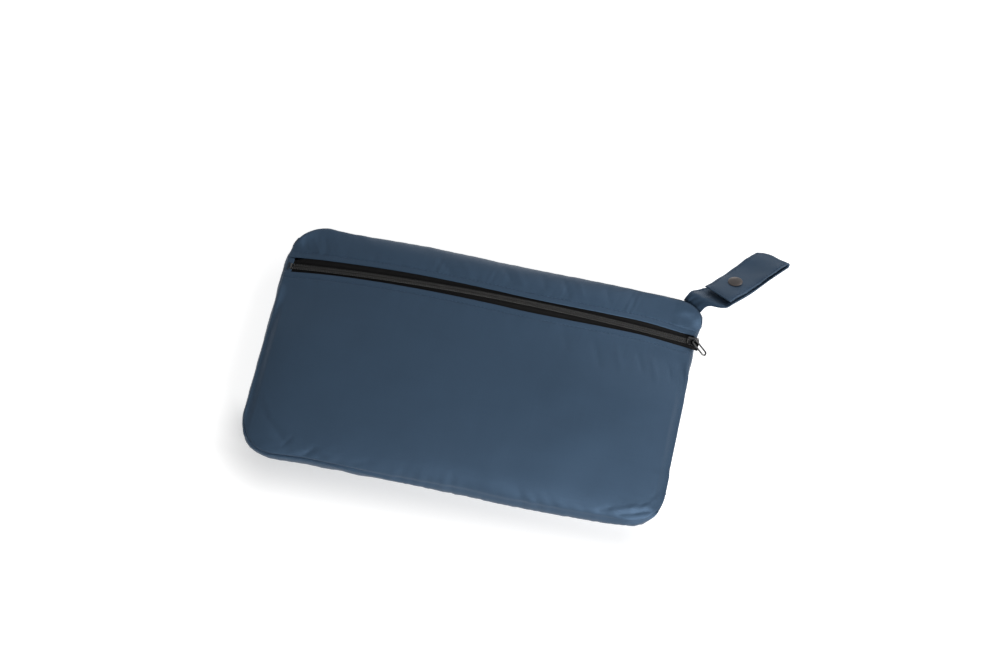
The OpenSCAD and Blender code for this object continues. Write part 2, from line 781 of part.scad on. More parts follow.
// A band folded back and forth along X, with round turns, taken in by inset all over.
module folded(l, w, t, layers, inset) {
  pitch = t + layer_gap;
  for (k = [0 : layers - 1])
    translate([inset_start(k, inset) - l / 2, inset - w / 2, k * pitch + inset])
      cube([l - inset_start(k, inset) - inset_end(k, layers, inset), w - 2 * inset, t - 2 * inset]);
  for (k = [0 : 1 : layers - 2])
    translate([(k % 2 == 0 ? 1 : -1) * l / 2, w / 2 - inset, k * pitch + t + layer_gap / 2])
      rotate([90, 0, 0])
        rotate([0, 0, k % 2 == 0 ? -90 : 90])
          rotate_extrude(angle = 180, $fn = 64)
            translate([layer_gap / 2 + inset, 0]) square([t - 2 * inset, w - 2 * inset]);
}
// A layer is drawn in only at an end that no turn carries on from.
function inset_start(k, inset) = k == 0 ? inset : 0;
function inset_end(k, layers, inset) = layers == 1 || (k == layers - 1 && k % 2 == 0) ? inset : 0;

// What lies flat in the pouch takes its length and width from the pouch's inside.
inner_l = pouch_w - 2 * (tuck + cloth);
inner_w = pouch_h - 2 * (tuck + cloth);
belt_l = inner_l - 2 * belt_end_room;
belt_w = inner_w - 2 * belt_side_room;
panel_l = inner_l - 2 * panel_end_room;
panel_w = inner_w - 2 * panel_side_room;
shoulder_w = (inner_w - row_foot_room - row_head_room - 2 * row_gap - hood_w) / 2;

belt_z = cloth + layer_gap;
body_z = belt_z + 2 * (pad_t + layer_gap);
body_layers = 4;
shoulder_z = body_z + body_layers * (panel_t + layer_gap);
kit_z = shoulder_z + 2 * (pad_t + layer_gap);
belt_y = -6;
shoulder_y_left = -inner_w / 2 + row_foot_room + shoulder_w / 2;
shoulder_y_right = shoulder_y_left + shoulder_w + row_gap;
hood_y = shoulder_y_right + shoulder_w / 2 + row_gap + hood_w / 2;
hood_layers = 4;

module pad_cover(l, w) {
  difference() {
    folded(l, w, pad_t, 2, 0);
    pad_void(l, w, cover_t);
  }
}

// The two-layer pad's inside: drawn in at both ends of the stack.
module pad_void(l, w, inset) {
  pitch = pad_t + layer_gap;
  for (k = [0, 1])
    translate([inset - l / 2, inset - w / 2, k * pitch + inset])
      cube([l - inset, w - 2 * inset, pad_t - 2 * inset]);
  translate([l / 2, w / 2 - inset, pad_t + layer_gap / 2])
    rotate([90, 0, 0])
      rotate([0, 0, -90])
        rotate_extrude(angle = 180, $fn = 64)
          translate([layer_gap / 2 + inset, 0]) square([pad_t - 2 * inset, w - 2 * inset]);
}

module waist_belt_cover() {
  color(CLOTH) translate([0, belt_y, belt_z]) pad_cover(belt_l, belt_w);
}

module waist_belt_foam() {
  color(FOAM) translate([0, belt_y, belt_z]) pad_void(belt_l, belt_w, cover_t + foam_gap);
}

module body_panel() {
  color(CLOTH) translate([0, 0, body_z]) folded(panel_l, panel_w, panel_t, body_layers, 0);
}

module shoulder_cover(y) {
  color(CLOTH) translate([0, y, shoulder_z]) pad_cover(shoulder_l, shoulder_w);
}

module shoulder_foam(y) {
  color(FOAM) translate([0, y, shoulder_z]) pad_void(shoulder_l, shoulder_w, cover_t + foam_gap);
}

module head_support() {
  color(CLOTH) translate([0, hood_y, shoulder_z]) folded(hood_l, hood_w, hood_t, hood_layers, 0);
}

// ---- Webbing, buckles and keepers, in a row on top of the shoulder straps ----

hank_z = kit_z + keeper_t + 0.2;
kit_x = -5;
kit_row_gap = 0.5;
buckle_w = webbing_w + 6;
clip_w = chest_w + 5;
lock_w = webbing_w + 4;
waist_row_y = shoulder_y_right + 17.5;
chest_row_y = waist_row_y - (buckle_w + clip_w) / 2 - kit_row_gap;
shoulder_row_y = chest_row_y - (clip_w + lock_w) / 2 - kit_row_gap;
chest_x = kit_x - 22;
waist_layers = 4;
shoulder_layers = 3;

module hank(x_end, y, l, w, layers) {
  color(WEBBING) translate([x_end - l / 2, y, hank_z]) folded(l, w, webbing_t, layers, 0);
}

function hank_height(layers) = layers * webbing_t + (layers - 1) * layer_gap;

module waist_webbing() {
  hank(kit_x, waist_row_y, hank_l, webbing_w, waist_layers);
}

module shoulder_webbing_left() {
  hank(kit_x, shoulder_row_y, hank_l, webbing_w, shoulder_layers);
}

module shoulder_webbing_right() {
  hank(short_hank_x + short_hank_l, shoulder_row_y, short_hank_l, webbing_w, shoulder_layers);
}

module chest_strap() {
  hank(chest_x, chest_row_y, chest_hank_l, chest_w, shoulder_layers);
}

// A side-release buckle: a flat socket with a mouth, and a three-pronged tongue in it.
slot_l = 3.4;
tongue_base = 9.4;
module socket(l, w, t) {
  difference() {
    translate([0, -w / 2, 0]) cube([l, w, t]);
    translate([mould_t + 5, mould_t - w / 2, mould_t]) cube([l, w - 2 * mould_t, t - 2 * mould_t]);
    for (side = [0, 1])
      mirror([0, side, 0]) translate([l * 0.4, w / 2 - 2 * mould_t, mould_t]) cube([l * 0.35, 3 * mould_t, t - 2 * mould_t]);
    translate([mould_t, 2 * mould_t - w / 2, -1]) cube([slot_l, w - 4 * mould_t, t + 2]);
  }
}

module tongue(l, w, t) {
  prong_w = 4;
  inner_w = w - 2 * mould_t - 2 * tongue_gap;
  prong_t = t - 2 * mould_t - 2 * tongue_gap;
  prong_l = l - mould_t - 5 - 2;
  translate([0, 0, mould_t + tongue_gap])
    linear_extrude(prong_t)
      for (y = [-inner_w / 2, -prong_w / 2, inner_w / 2 - prong_w])
        translate([-prong_l, y]) square([prong_l + 1, prong_w]);
  difference() {
    translate([tongue_gap, -w / 2, 0]) cube([tongue_base, w, t]);
    translate([tongue_gap + tongue_base - mould_t - slot_l, 2 * mould_t - w / 2, -1]) cube([slot_l, w - 4 * mould_t, t + 2]);
  }
}

fold_room = webbing_t + layer_gap + 0.6;
buckle_x = kit_x + fold_room;
clip_x = chest_x + fold_room;
lock_right_x = buckle_x + lock_l + 4;
short_hank_x = lock_right_x + lock_l + fold_room;

module waist_buckle_socket() {
  color(MOULD) translate([buckle_x, waist_row_y, kit_z]) socket(buckle_l, buckle_w, buckle_t);
}

module waist_buckle_tongue() {
  color(MOULD) translate([buckle_x + buckle_l, waist_row_y, kit_z]) tongue(buckle_l, buckle_w, buckle_t);
}

module chest_clip_socket() {
  color(MOULD) translate([clip_x, chest_row_y, kit_z]) socket(clip_l, clip_w, clip_t);
}

module chest_clip_tongue() {
  color(MOULD) translate([clip_x + clip_l, chest_row_y, kit_z]) tongue(clip_l, clip_w, clip_t);
}

// A ladder lock: a frame with three slots for the webbing.
module ladder_lock(x) {
  w = lock_w;
  slot_w = w - 2 * mould_t;
  slots = 3;
  bar = 3.4;
  opening = (lock_l - (slots + 1) * bar) / slots;
  color(MOULD)
    translate([x, shoulder_row_y, kit_z])
      difference() {
        translate([0, -w / 2, 0]) cube([lock_l, w, lock_t]);
        for (k = [0 : slots - 1])
          translate([bar + k * (opening + bar), -slot_w / 2, -1]) cube([opening, slot_w, lock_t + 2]);
      }
}

module shoulder_buckle_left() {
  ladder_lock(buckle_x);
}

module shoulder_buckle_right() {
  ladder_lock(lock_right_x);
}

// Elastic keepers hold each hank shut.
module keeper(x, y, w, layers) {
  h = hank_height(layers);
  gap = 0.2;
  color(BINDING)
    translate([x - keeper_w / 2, y, kit_z])
      difference() {
        translate([0, -w / 2 - gap - keeper_t, 0]) cube([keeper_w, w + 2 * (gap + keeper_t), h + 2 * (gap + keeper_t)]);
        translate([-1, -w / 2 - gap, keeper_t]) cube([keeper_w + 2, w + 2 * gap, h + 2 * gap]);
      }
}

module webbing_keepers() {
  keeper(kit_x - hank_l / 2, waist_row_y, webbing_w, waist_layers);
  keeper(kit_x - hank_l / 2, shoulder_row_y, webbing_w, shoulder_layers);
  keeper(chest_x - chest_hank_l / 2, chest_row_y, chest_w, shoulder_layers);
  keeper(short_hank_x + short_hank_l / 2, shoulder_row_y, webbing_w, shoulder_layers);
}

back_panel();
side_gusset();
front_panel();
top_band();
front_seam_binding();
back_seam_binding();
zipper_tape_lower();
zipper_tape_upper();
zipper_coil_lower();
zipper_coil_upper();
zipper_bottom_stop();
zipper_top_stops();
zipper_end_tab();
slider_body();
pull_loop();
strap_anchor();
strap_lower();
snap_stud();
snap_back();
strap_flap();
snap_socket();
snap_cap();
waist_belt_cover();
waist_belt_foam();
body_panel();
shoulder_cover(shoulder_y_left);  // shoulder_cover_left
shoulder_foam(shoulder_y_left);  // shoulder_foam_left
shoulder_cover(shoulder_y_right);  // shoulder_cover_right
shoulder_foam(shoulder_y_right);  // shoulder_foam_right
head_support();
waist_webbing();
waist_buckle_socket();
waist_buckle_tongue();
shoulder_webbing_left();
shoulder_webbing_right();
shoulder_buckle_left();
shoulder_buckle_right();
chest_strap();
chest_clip_socket();
chest_clip_tongue();
webbing_keepers();
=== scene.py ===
# %% [markdown]
# # A soft carrier, folded away in its own pouch
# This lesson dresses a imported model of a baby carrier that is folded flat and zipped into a
# pouch sewn from its own cloth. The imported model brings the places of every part, so each
# piece below is made in the same frame, in millimetres, and turned into metres at the end.

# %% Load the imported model
import math

import bmesh
import bpy
import numpy as np
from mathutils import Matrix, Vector


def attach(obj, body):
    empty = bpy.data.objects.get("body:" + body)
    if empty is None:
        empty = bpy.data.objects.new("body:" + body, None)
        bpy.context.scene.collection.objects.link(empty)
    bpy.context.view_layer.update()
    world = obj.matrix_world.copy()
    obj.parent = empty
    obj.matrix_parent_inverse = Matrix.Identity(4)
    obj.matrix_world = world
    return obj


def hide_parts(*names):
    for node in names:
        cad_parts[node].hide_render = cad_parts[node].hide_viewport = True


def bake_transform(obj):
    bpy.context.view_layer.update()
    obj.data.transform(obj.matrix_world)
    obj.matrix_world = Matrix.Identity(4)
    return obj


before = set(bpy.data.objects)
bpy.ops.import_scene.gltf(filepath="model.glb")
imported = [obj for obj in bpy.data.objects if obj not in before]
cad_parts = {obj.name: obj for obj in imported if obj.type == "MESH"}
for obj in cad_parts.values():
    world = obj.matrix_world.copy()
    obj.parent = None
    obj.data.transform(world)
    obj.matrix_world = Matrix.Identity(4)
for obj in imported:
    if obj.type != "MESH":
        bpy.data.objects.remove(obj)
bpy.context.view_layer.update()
MM = 0.001

# %% [markdown]
# ## The camera
# A product is often shot from a tall stand, almost straight down, so that its whole face
# shows and only a sliver of its near side. A long lens keeps its edges nearly parallel. The
# camera is given by where it looks, how far round and up it stands, and how far away it is.

# %% Camera
LOOK_AT = Vector((0.0130, 0.0390, 0.0))
AROUND, ABOVE, AWAY = math.radians(11.2), math.radians(74.0), 1.4
LENS = 70


def from_angles(around, above):
    """The unit vector that points from the object to something seen from these angles."""
    flat = math.cos(above)
    return Vector((math.sin(around) * flat, -math.cos(around) * flat, math.sin(above)))


def aim(obj, at):
    obj.rotation_euler = (at - obj.location).to_track_quat("-Z", "Y").to_euler()


camera = bpy.data.objects.new("camera", bpy.data.cameras.new("camera"))
camera.data.lens = LENS
camera.location = LOOK_AT + AWAY * from_angles(AROUND, ABOVE)
aim(camera, LOOK_AT)
bpy.context.scene.collection.objects.link(camera)
bpy.context.scene.camera = camera
print("camera at", [round(x, 3) for x in camera.location])

# %% [markdown]
# ## The studio
# The light is plain and soft, as in a light tent: a pale world from all round, one big panel
# above and to the front right, and a smaller one from the back right. Together they light a
# flat white sheet to just about white, so that a colour renders about as it is written. The
# satin cloth mirrors the panels faintly, which is what draws the pouch's crown. A tent with
# the same light all round would draw nothing, so its left side is kept dimmer.

# %% Lamps and world
WORLD_LEVEL, SHADED_SIDE = 0.22, 0.45


def soft_panel(name, toward, away, size, power):
    """A square area lamp that looks at the object from a direction."""
    lamp = bpy.data.lights.new(name, "AREA")
    lamp.shape, lamp.size, lamp.energy = "SQUARE", size, power
    obj = bpy.data.objects.new(name, lamp)
    obj.location = LOOK_AT + away * Vector(toward).normalized()
    aim(obj, LOOK_AT)
    bpy.context.scene.collection.objects.link(obj)
    return obj


soft_panel("front_panel_lamp", (0.56, -0.66, 0.52), 1.0, 0.6, 9.5)
soft_panel("back_panel_lamp", (0.60, 0.70, 0.45), 1.3, 0.6, 3.5)

# %% [markdown]
# ## Shader sums written as Python
# A material is a web of small nodes, which is hard to read as a list. One small class wraps
# a node's socket, so that adding, subtracting and multiplying sockets makes the Math nodes
# by itself. Numbers become Math nodes, and colours and vectors go through Mix and Vector
# Math, because a Math node would turn a colour grey. Every other node comes from `add`.

# %% A class for sockets, and a class for a finish
class Wire:
    """The output of a node, which can be used in sums."""

    def __init__(self, finish, socket):
        self.finish, self.socket = finish, socket

    def _sum(self, kind, a, b):
        sides = [x.socket.type for x in (a, b) if isinstance(x, Wire)]
        if "RGBA" in sides:
            a, b = [x if isinstance(x, Wire) or hasattr(x, "__len__") else (x, x, x, 1) for x in (a, b)]
            return self.finish.mix(1.0, a, b, kind)
        if "VECTOR" in sides:
            a, b = [x if isinstance(x, Wire) or hasattr(x, "__len__") else (x, x, x) for x in (a, b)]
            return self.finish.add("VectorMath", {"operation": kind}, {0: a, 1: b})
        return self.finish.add("Math", {"operation": kind}, {0: a, 1: b})

    def __add__(self, other): return self._sum("ADD", self, other)
    def __radd__(self, other): return self._sum("ADD", other, self)
    def __sub__(self, other): return self._sum("SUBTRACT", self, other)
    def __rsub__(self, other): return self._sum("SUBTRACT", other, self)
    def __mul__(self, other): return self._sum("MULTIPLY", self, other)
    def __rmul__(self, other): return self._sum("MULTIPLY", other, self)

    def between(self, low, high):
        """0 below low, 1 above high, and a smooth rise between them."""
        return self.finish.add("MapRange", {"interpolation_type": "SMOOTHSTEP"},
                               {"Value": self, "From Min": low, "From Max": high})


class Finish:
    """A material on one Principled shader, whose web is built with `add`."""

    def __init__(self, name, **constants):
        self.material = bpy.data.materials.new(name)
        self.material.use_nodes = True
        self.tree = self.material.node_tree
        self.shader = self.tree.nodes["Principled BSDF"]
        for socket, value in constants.items():
            self.shader.inputs[socket.replace("_", " ")].default_value = value

    def add(self, kind, settings=None, inputs=None, out=0):
        node = self.tree.nodes.new("ShaderNode" + kind)
        for key, value in (settings or {}).items():
            setattr(node, key, value)
        for key, value in (inputs or {}).items():
            if isinstance(value, Wire):
                self.tree.links.new(value.socket, node.inputs[key])
            else:
                node.inputs[key].default_value = value
        return Wire(self, node.outputs[out])

    def mix(self, share, a, b, blend="MIX"):
        """Mixes two colours. A colour Mix node keeps its colour sockets at places 6 and 7."""
        return self.add("Mix", {"data_type": "RGBA", "blend_type": blend}, {0: share, 6: a, 7: b}, out=2)

    def feed(self, **wires):
        for socket, wire in wires.items():
            self.tree.links.new(wire.socket, self.shader.inputs[socket.replace("_", " ")])

    def threads(self):
        """How far along, across, and how worn: every cloth mesh below keeps these, in mm."""
        thread = self.add("Attribute", {"attribute_name": "thread"}, out=1)
        return [self.add("SeparateXYZ", None, {0: thread}, out=k) for k in range(3)]

    def noise(self, at, scale, detail=2.0, rough=0.5):
        return self.add("TexNoise", {"noise_dimensions": "3D"},
                        {"Vector": at, "Scale": scale, "Detail": detail, "Roughness": rough})

    def place(self, x, y, z=0.0):
        return self.add("CombineXYZ", None, {0: x, 1: y, 2: z})

    def wave(self, value, pitch, shift=0.0):
        """From 0 to 1 and back, once in every pitch."""
        return self.add("Math", {"operation": "SINE"}, {0: value * (2 * math.pi / pitch) + shift}) * 0.5 + 0.5

    def bump(self, height, mm):
        """A bump whose height is from 0 to 1, and stands for so many mm."""
        return self.add("Bump", None, {"Height": height, "Distance": mm * MM, "Strength": 1.0})

    def grey(self, level):
        return self.add("CombineColor", None, {0: level, 1: level, 2: level})


print("a Math node comes out of a sum such as wave * 0.5 + 0.5")

# %% [markdown]
# ## The floor
# The sheet under the pouch is seamless white paper. To the camera, and in mirrors, it is
# as white as can be apart from the shadow on it, and to the object it is plain pale paper.
# Light Path tells the two kinds of ray apart, so no extra light has to fall on the object.
# Bright paper would wash its own shadow out. So the glow that whitens it is weak near the
# pouch, and grows with the distance from it and towards the lit side, beyond the pouch.

# %% Floor and world
PAPER, PAPER_SEEN = 0.80, 0.82
GLOW_LEAST, GLOW_MORE = 0.22, 0.60
UNDER_POUCH, SHADE_REACH = (0.125, 0.060, 0.0), (0.022, 0.075)
LIT_TOWARD, LIT_BETWEEN = (0.04, 1.0, 0.0), (-0.090, -0.045)
LIGHT_FROM = (0.95, 0.3, 0.0)


def seen_directly(finish):
    """1 for what the camera sees, straight or in a mirror or glass, and 0 for other light."""
    ways = [finish.add("LightPath", None, None, out=way)
            for way in ("Is Camera Ray", "Is Glossy Ray", "Is Transmission Ray")]
    return finish.add("Math", {"operation": "MINIMUM"}, {0: ways[0] + ways[1] + ways[2], 1: 1.0})


def along_vector(finish, place, vector):
    return finish.add("VectorMath", {"operation": "DOT_PRODUCT"}, {0: place, 1: vector}, "Value")


paper = Finish("white_paper", Roughness=1.0, Specular_IOR_Level=0.0, Emission_Strength=1.0)
seen = seen_directly(paper)
spot = paper.add("TexCoord", None, None, "Object")
beside = paper.add("VectorMath", {"operation": "ABSOLUTE"}, {0: spot}) - UNDER_POUCH
beside = paper.add("VectorMath", {"operation": "MAXIMUM"}, {0: beside, 1: (0.0, 0.0, 0.0)})
away = paper.add("VectorMath", {"operation": "LENGTH"}, {0: beside}, "Value").between(*SHADE_REACH)
lit_side = along_vector(paper, spot, LIT_TOWARD).between(*LIT_BETWEEN)
glow = (1 - (1 - away) * (1 - lit_side)) * GLOW_MORE + GLOW_LEAST
paper.feed(Base_Color=paper.grey(seen * (PAPER_SEEN - PAPER) + PAPER), Emission_Color=paper.grey(glow * seen))

bpy.ops.mesh.primitive_plane_add(size=8, location=(0, 0, -0.0004))
floor = bpy.context.object
floor.name = "floor"
floor.data.materials.append(paper.material)


class WorldFinish(Finish):
    """The same way of adding nodes, for the world's own tree."""

    def __init__(self, world):
        world.use_nodes = True
        self.tree = world.node_tree
        self.shader = self.tree.nodes["Background"]


world = bpy.data.worlds.new("light_tent")
bpy.context.scene.world = world
tent = WorldFinish(world)
direction = tent.add("TexCoord", None, None, "Generated")
level = along_vector(tent, direction, LIGHT_FROM).between(-1.0, 0.0) * (1 - SHADED_SIDE) + SHADED_SIDE
tent.feed(Strength=seen_directly(tent) * (1 - WORLD_LEVEL) + WORLD_LEVEL, Color=tent.grey(level))
bpy.context.scene.view_settings.view_transform = "Standard"
print("floor and world are made")

# %% [markdown]
# ## Finishes of the cloth
# The pouch and the strap are a light plain-woven polyester in slate blue. Its threads are
# bright and round, so it has a satin gloss of its own colour, which is why it is partly
# metallic here: `satin` is how much, and `gloss` how wide the shine spreads. Over that lie
# the weave, whose raised threads are painted lighter and its gaps darker as painted light,
# slubs where a thread runs thick, and a slight fading where seams are rubbed. A picture of a
# weave would blur close up; a pattern that nodes work out stays sharp.

# %% Cloth
SLUB, WEAVE_MM, FADED, PATCHY, WEAVE_PAINTED_LIGHT = 0.10, 0.04, 0.07, 0.16, 0.10


def cloth_finish(name, colour, thread_mm, gloss=0.48, satin=0.58):
    """Plain-woven cloth: colour is what it shows in plain light."""
    finish = Finish(name, Sheen_Weight=0.12, Sheen_Roughness=0.45, Specular_IOR_Level=0.35)
    finish.shader.inputs["Sheen Tint"].default_value = (*[min(1, 0.35 + c) for c in colour], 1)
    along, across, worn = finish.threads()
    warp, weft = finish.wave(along, thread_mm), finish.wave(across, thread_mm)
    weave = warp * weft + (1 - warp) * (1 - weft)
    streaks = (finish.noise(finish.place(along * 0.02, across * 1.1), 1.0, 3.0)
               + finish.noise(finish.place(along * 1.1, across * 0.02, 7.0), 1.0, 3.0)) * 0.5
    patches = finish.noise(finish.place(along, across, 3.0), 0.035, 4.0, 0.6)
    # The weave's term is painted light: threads that the bump raises are lighter, the gaps darker. Slubs and
    # patches are the cloth's own tone.
    shade = (streaks - 0.5) * (2 * SLUB) + (patches - 0.5) * PATCHY + (weave - 0.5) * WEAVE_PAINTED_LIGHT + 1.0
    rubbed = worn.between(0.25, 1.0) * (patches * 0.6 + 0.4) * FADED
    base = finish.mix(rubbed, (*colour, 1), (*[0.45 * c + 0.16 for c in colour], 1))
    finish.feed(
        Base_Color=finish.add("VectorMath", {"operation": "SCALE"}, {0: base, "Scale": shade}),
        Metallic=satin - rubbed * 0.4,
        Roughness=gloss + (streaks - 0.5) * 0.22 + rubbed * 0.3,
        Normal=finish.bump(weave + streaks * 0.8, WEAVE_MM))
    return finish.material


SLATE = (0.034, 0.065, 0.110)
pouch_cloth = cloth_finish("pouch_cloth", SLATE, 0.55)
# The strap's cloth is the pouch's own cloth made 4% darker: painted shade on the strap.
strap_cloth = cloth_finish("strap_cloth", tuple(0.96 * c for c in SLATE), 0.6, gloss=0.42)
lining_cloth = cloth_finish("binding", (0.020, 0.032, 0.050), 0.5, gloss=0.7, satin=0.1)
thread_cloth = cloth_finish("sewing_thread", tuple(1.25 * c for c in SLATE), 0.2, gloss=0.5)
padding = Finish("foam", Roughness=0.95)
in_object = padding.add("TexCoord", None, None, "Object")
cells = padding.add("TexVoronoi", None, {"Vector": in_object, "Scale": 900.0})
padding.feed(Base_Color=padding.mix(cells * 1.6, (0.70, 0.68, 0.60, 1), (0.86, 0.84, 0.78, 1)),
             Normal=padding.bump(cells, 0.3))
print("cloth finishes:", pouch_cloth.name, strap_cloth.name, lining_cloth.name)

# %% [markdown]
# ## Finishes of the zipper, the webbing and the fittings
# Zipper tape and webbing are ribbed along their length, which a wave across them gives. The
# nylon coil is a dull dark grey. Plated and enamelled metal shows where hands rub it, so a
# noise mixes a brighter metal into the finish on its high spots.

# %% Tape, webbing, nylon and metal
def ribbed_finish(name, colour, rib_mm, rib_depth_mm, gloss, lustre=0.3, fuzzed=0.012):
    """Ribs along a ribbon, with a painted highlight on their high threads, and lighter where fibres stand up.
    """
    finish = Finish(name, Sheen_Weight=0.6 * lustre, Sheen_Roughness=0.5, Specular_IOR_Level=lustre)
    along, across, worn = finish.threads()
    ribs = finish.wave(across, rib_mm)
    picks = finish.wave(along, rib_mm * 0.6)
    fuzz = finish.noise(finish.place(along, across * 2), 0.8, 3.0)
    light = (*[1.7 * c + fuzzed for c in colour], 1)
    # Ribs and picks paint the high threads lighter, a painted highlight; fuzz and wear are the tape's own tone.
    finish.feed(
        Base_Color=finish.mix(ribs * 0.35 + fuzz * 0.35 + picks * 0.15 + worn * 0.15,
                              (*colour, 1), light),
        Roughness=fuzz * 0.25 + gloss,
        Normal=finish.bump(ribs * 0.7 + picks * 0.3 + fuzz * 0.2, rib_depth_mm))
    return finish.material


zip_tape_finish = ribbed_finish("zipper_tape", (0.0105, 0.0102, 0.0105), 0.7, 0.12, 0.7, 0.08, 0.004)
webbing_finish = ribbed_finish("webbing", (0.014, 0.017, 0.022), 1.4, 0.25, 0.55)
elastic_finish = ribbed_finish("elastic", (0.016, 0.024, 0.036), 1.0, 0.30, 0.65)


def worn_finish(name, colour, rubbed_colour, metallic, gloss, grain_scale, rubbed_share=0.5, grain_mm=0.02):
    """Metal or plastic with a fine grain, rubbed brighter in patches."""
    finish = Finish(name, Metallic=metallic)
    at = finish.add("TexCoord", None, None, "Object")
    grain = finish.noise(at, grain_scale, 4.0, 0.6)
    patches = finish.noise(at, grain_scale * 0.12, 3.0).between(0.52, 0.72)
    finish.feed(
        Base_Color=finish.mix(patches * rubbed_share, (*colour, 1), (*rubbed_colour, 1)),
        Roughness=gloss + (grain - 0.5) * 0.20 - patches * 0.08,
        Normal=finish.bump(grain, grain_mm))
    return finish.material


coil_finish = worn_finish("nylon_coil", (0.030, 0.030, 0.029), (0.060, 0.058, 0.054), 0.0, 0.36, 1500, 0.6)
enamel_finish = worn_finish("black_enamel", (0.012, 0.012, 0.013), (0.30, 0.29, 0.28), 0.85, 0.20, 1400, 0.75)
bright_finish = worn_finish("dark_nickel", (0.07, 0.07, 0.07), (0.32, 0.31, 0.30), 0.95, 0.26, 1800, 0.45)
gunmetal_finish = worn_finish("gunmetal", (0.070, 0.062, 0.060), (0.20, 0.18, 0.17), 0.85, 0.38, 1600, 0.4)
acetal_finish = worn_finish("moulded_acetal", (0.018, 0.018, 0.020), (0.035, 0.035, 0.037), 0.0, 0.48, 2600,
                            0.5, 0.05)
print("materials so far:", len(bpy.data.materials))

# %% [markdown]
# ## Meshes from grids
# Cloth that is sewn to a plan is easiest made from a grid of points: one direction runs
# along the piece and the other across it. `shell` gives such a grid a thickness, closes its
# rims, and keeps on every corner how far along and across the cloth that corner is, which is
# what the weave is drawn from. `loft` does the same for a closed section drawn along a line.

# %% Grid, shell and loft
def unit(vectors):
    return vectors / np.maximum(np.linalg.norm(vectors, axis=-1, keepdims=True), 1e-9)


def lengths_along(path):
    """How far each point of a path is from its first one."""
    return np.concatenate([[0.0], np.cumsum(np.linalg.norm(np.diff(path, axis=0), axis=1))])


def steps_along(points, axis):
    """How far each grid line is from the first one, in mm, averaged over the other direction."""
    gaps = np.linalg.norm(np.diff(points, axis=axis), axis=2).mean(axis=1 - axis)
    return np.concatenate([[0.0], np.cumsum(gaps)])


def grid_faces(n, m, wrap, first=0, flip=False):
    i = np.arange(n if wrap else n - 1)[:, None]
    j = np.arange(m - 1)[None, :]
    k = (i + 1) % n
    quads = np.stack([i * m + j, k * m + j, k * m + j + 1, i * m + j + 1], axis=-1).reshape(-1, 4) + first
    return quads[:, ::-1] if flip else quads


def tube_faces(n, m):
    """The faces of a tube through n rings of m points."""
    i, j = np.arange(n - 1)[:, None] * m, np.arange(m)[None, :]
    k = (j + 1) % m
    return np.stack([i + j, i + k, i + m + k, i + m + j], axis=-1).reshape(-1, 4)


def placed(name, mesh, finish=None, sharp_from=None):
    """A new object in the scene with this mesh, smooth but for edges sharper than an angle."""
    if finish:
        mesh.polygons.foreach_set("use_smooth", np.ones(len(mesh.polygons), bool))
        mesh.materials.append(finish)
    if sharp_from:
        mesh.set_sharp_from_angle(angle=math.radians(sharp_from))
    obj = bpy.data.objects.new(name, mesh)
    bpy.context.scene.collection.objects.link(obj)
    return obj


def build(name, points, faces, thread, finish, worn=None):
    """An object in metres from points in mm. thread has (along, across) for each face's corners."""
    mesh = bpy.data.meshes.new(name)
    mesh.from_pydata((np.asarray(points).reshape(-1, 3) * MM).tolist(), [], np.asarray(faces).tolist())
    marks = mesh.attributes.new("thread", "FLOAT_VECTOR", "CORNER")
    values = np.zeros((len(mesh.loops), 3), np.float32)
    values[:, :2] = np.asarray(thread).reshape(-1, 2)
    if worn is not None:
        values[:, 2] = np.asarray(worn).reshape(-1)
    marks.data.foreach_set("vector", values.ravel())
    mesh.validate()
    return placed(name, mesh, finish, 60)


def normals_of(points, wrap=False):
    """Unit normals of a grid, from its neighbours."""
    if wrap:
        a = np.roll(points, -1, axis=0) - np.roll(points, 1, axis=0)
    else:
        a = np.gradient(points, axis=0)
    return unit(np.cross(a, np.gradient(points, axis=1)))


def shell(name, top, thickness, finish, wrap=False, worn=None, flip=False):
    """Cloth of some thickness, whose outer face is the grid `top` and whose rims are closed."""
    n, m, _ = top.shape
    under = top - thickness * normals_of(top, wrap) * (-1 if flip else 1)
    points = np.concatenate([top.reshape(-1, 3), under.reshape(-1, 3)])
    along = steps_along(np.concatenate([top, top[:1]]) if wrap else top, 0)
    across = steps_along(top, 1)
    outer, inner = grid_faces(n, m, wrap, 0, flip), grid_faces(n, m, wrap, n * m, not flip)
    i = np.arange(n if wrap else n - 1)
    k = (i + 1) % n
    rims = []
    for j, turned in ((0, False), (m - 1, True)):
        here, there = i * m + j, k * m + j
        quad = np.stack([here, n * m + here, n * m + there, there], axis=-1)
        rims.append(quad if turned == flip else quad[:, ::-1])
    if not wrap:
        j = np.arange(m - 1)
        for row, turned in ((0, False), (n - 1, True)):
            edge = row * m + j
            quad = np.stack([edge, edge + 1, n * m + edge + 1, n * m + edge], axis=-1)
            rims.append(quad if turned == flip else quad[:, ::-1])
    faces = np.concatenate([outer, inner] + rims)
    row, column = (faces % (n * m)) // m, faces % m
    if wrap:
        last = (row.max(axis=1, keepdims=True) == n - 1) & (row == 0)
        row = np.where(last, n, row)
    thread = np.stack([along[row], across[column]], axis=-1)
    worn_values = None if worn is None else (np.concatenate([worn, worn[:1]]) if wrap else worn)[row, column]
    return build(name, points, faces, thread, finish, worn_values)


def loft(name, rings, finish, worn=None, closed=True):
    """A tube through rings of points, each (k, 3), with its two ends closed by fans."""
    rings = np.asarray(rings)
    n, m, _ = rings.shape
    faces = tube_faces(n, m)
    along = steps_along(rings, 0)
    around = steps_along(np.concatenate([rings, rings[:, :1]], axis=1), 1)
    row, column = faces // m, faces % m
    column = np.where((column.max(axis=1, keepdims=True) == m - 1) & (column == 0), m, column)
    thread = np.stack([along[row], around[column]], axis=-1)
    worn_values = None if worn is None else np.broadcast_to(np.asarray(worn), (n, m))[row, column % m]
    obj = build(name, rings, faces, thread, finish, worn_values)
    if closed:
        close_ends(obj)
    return obj


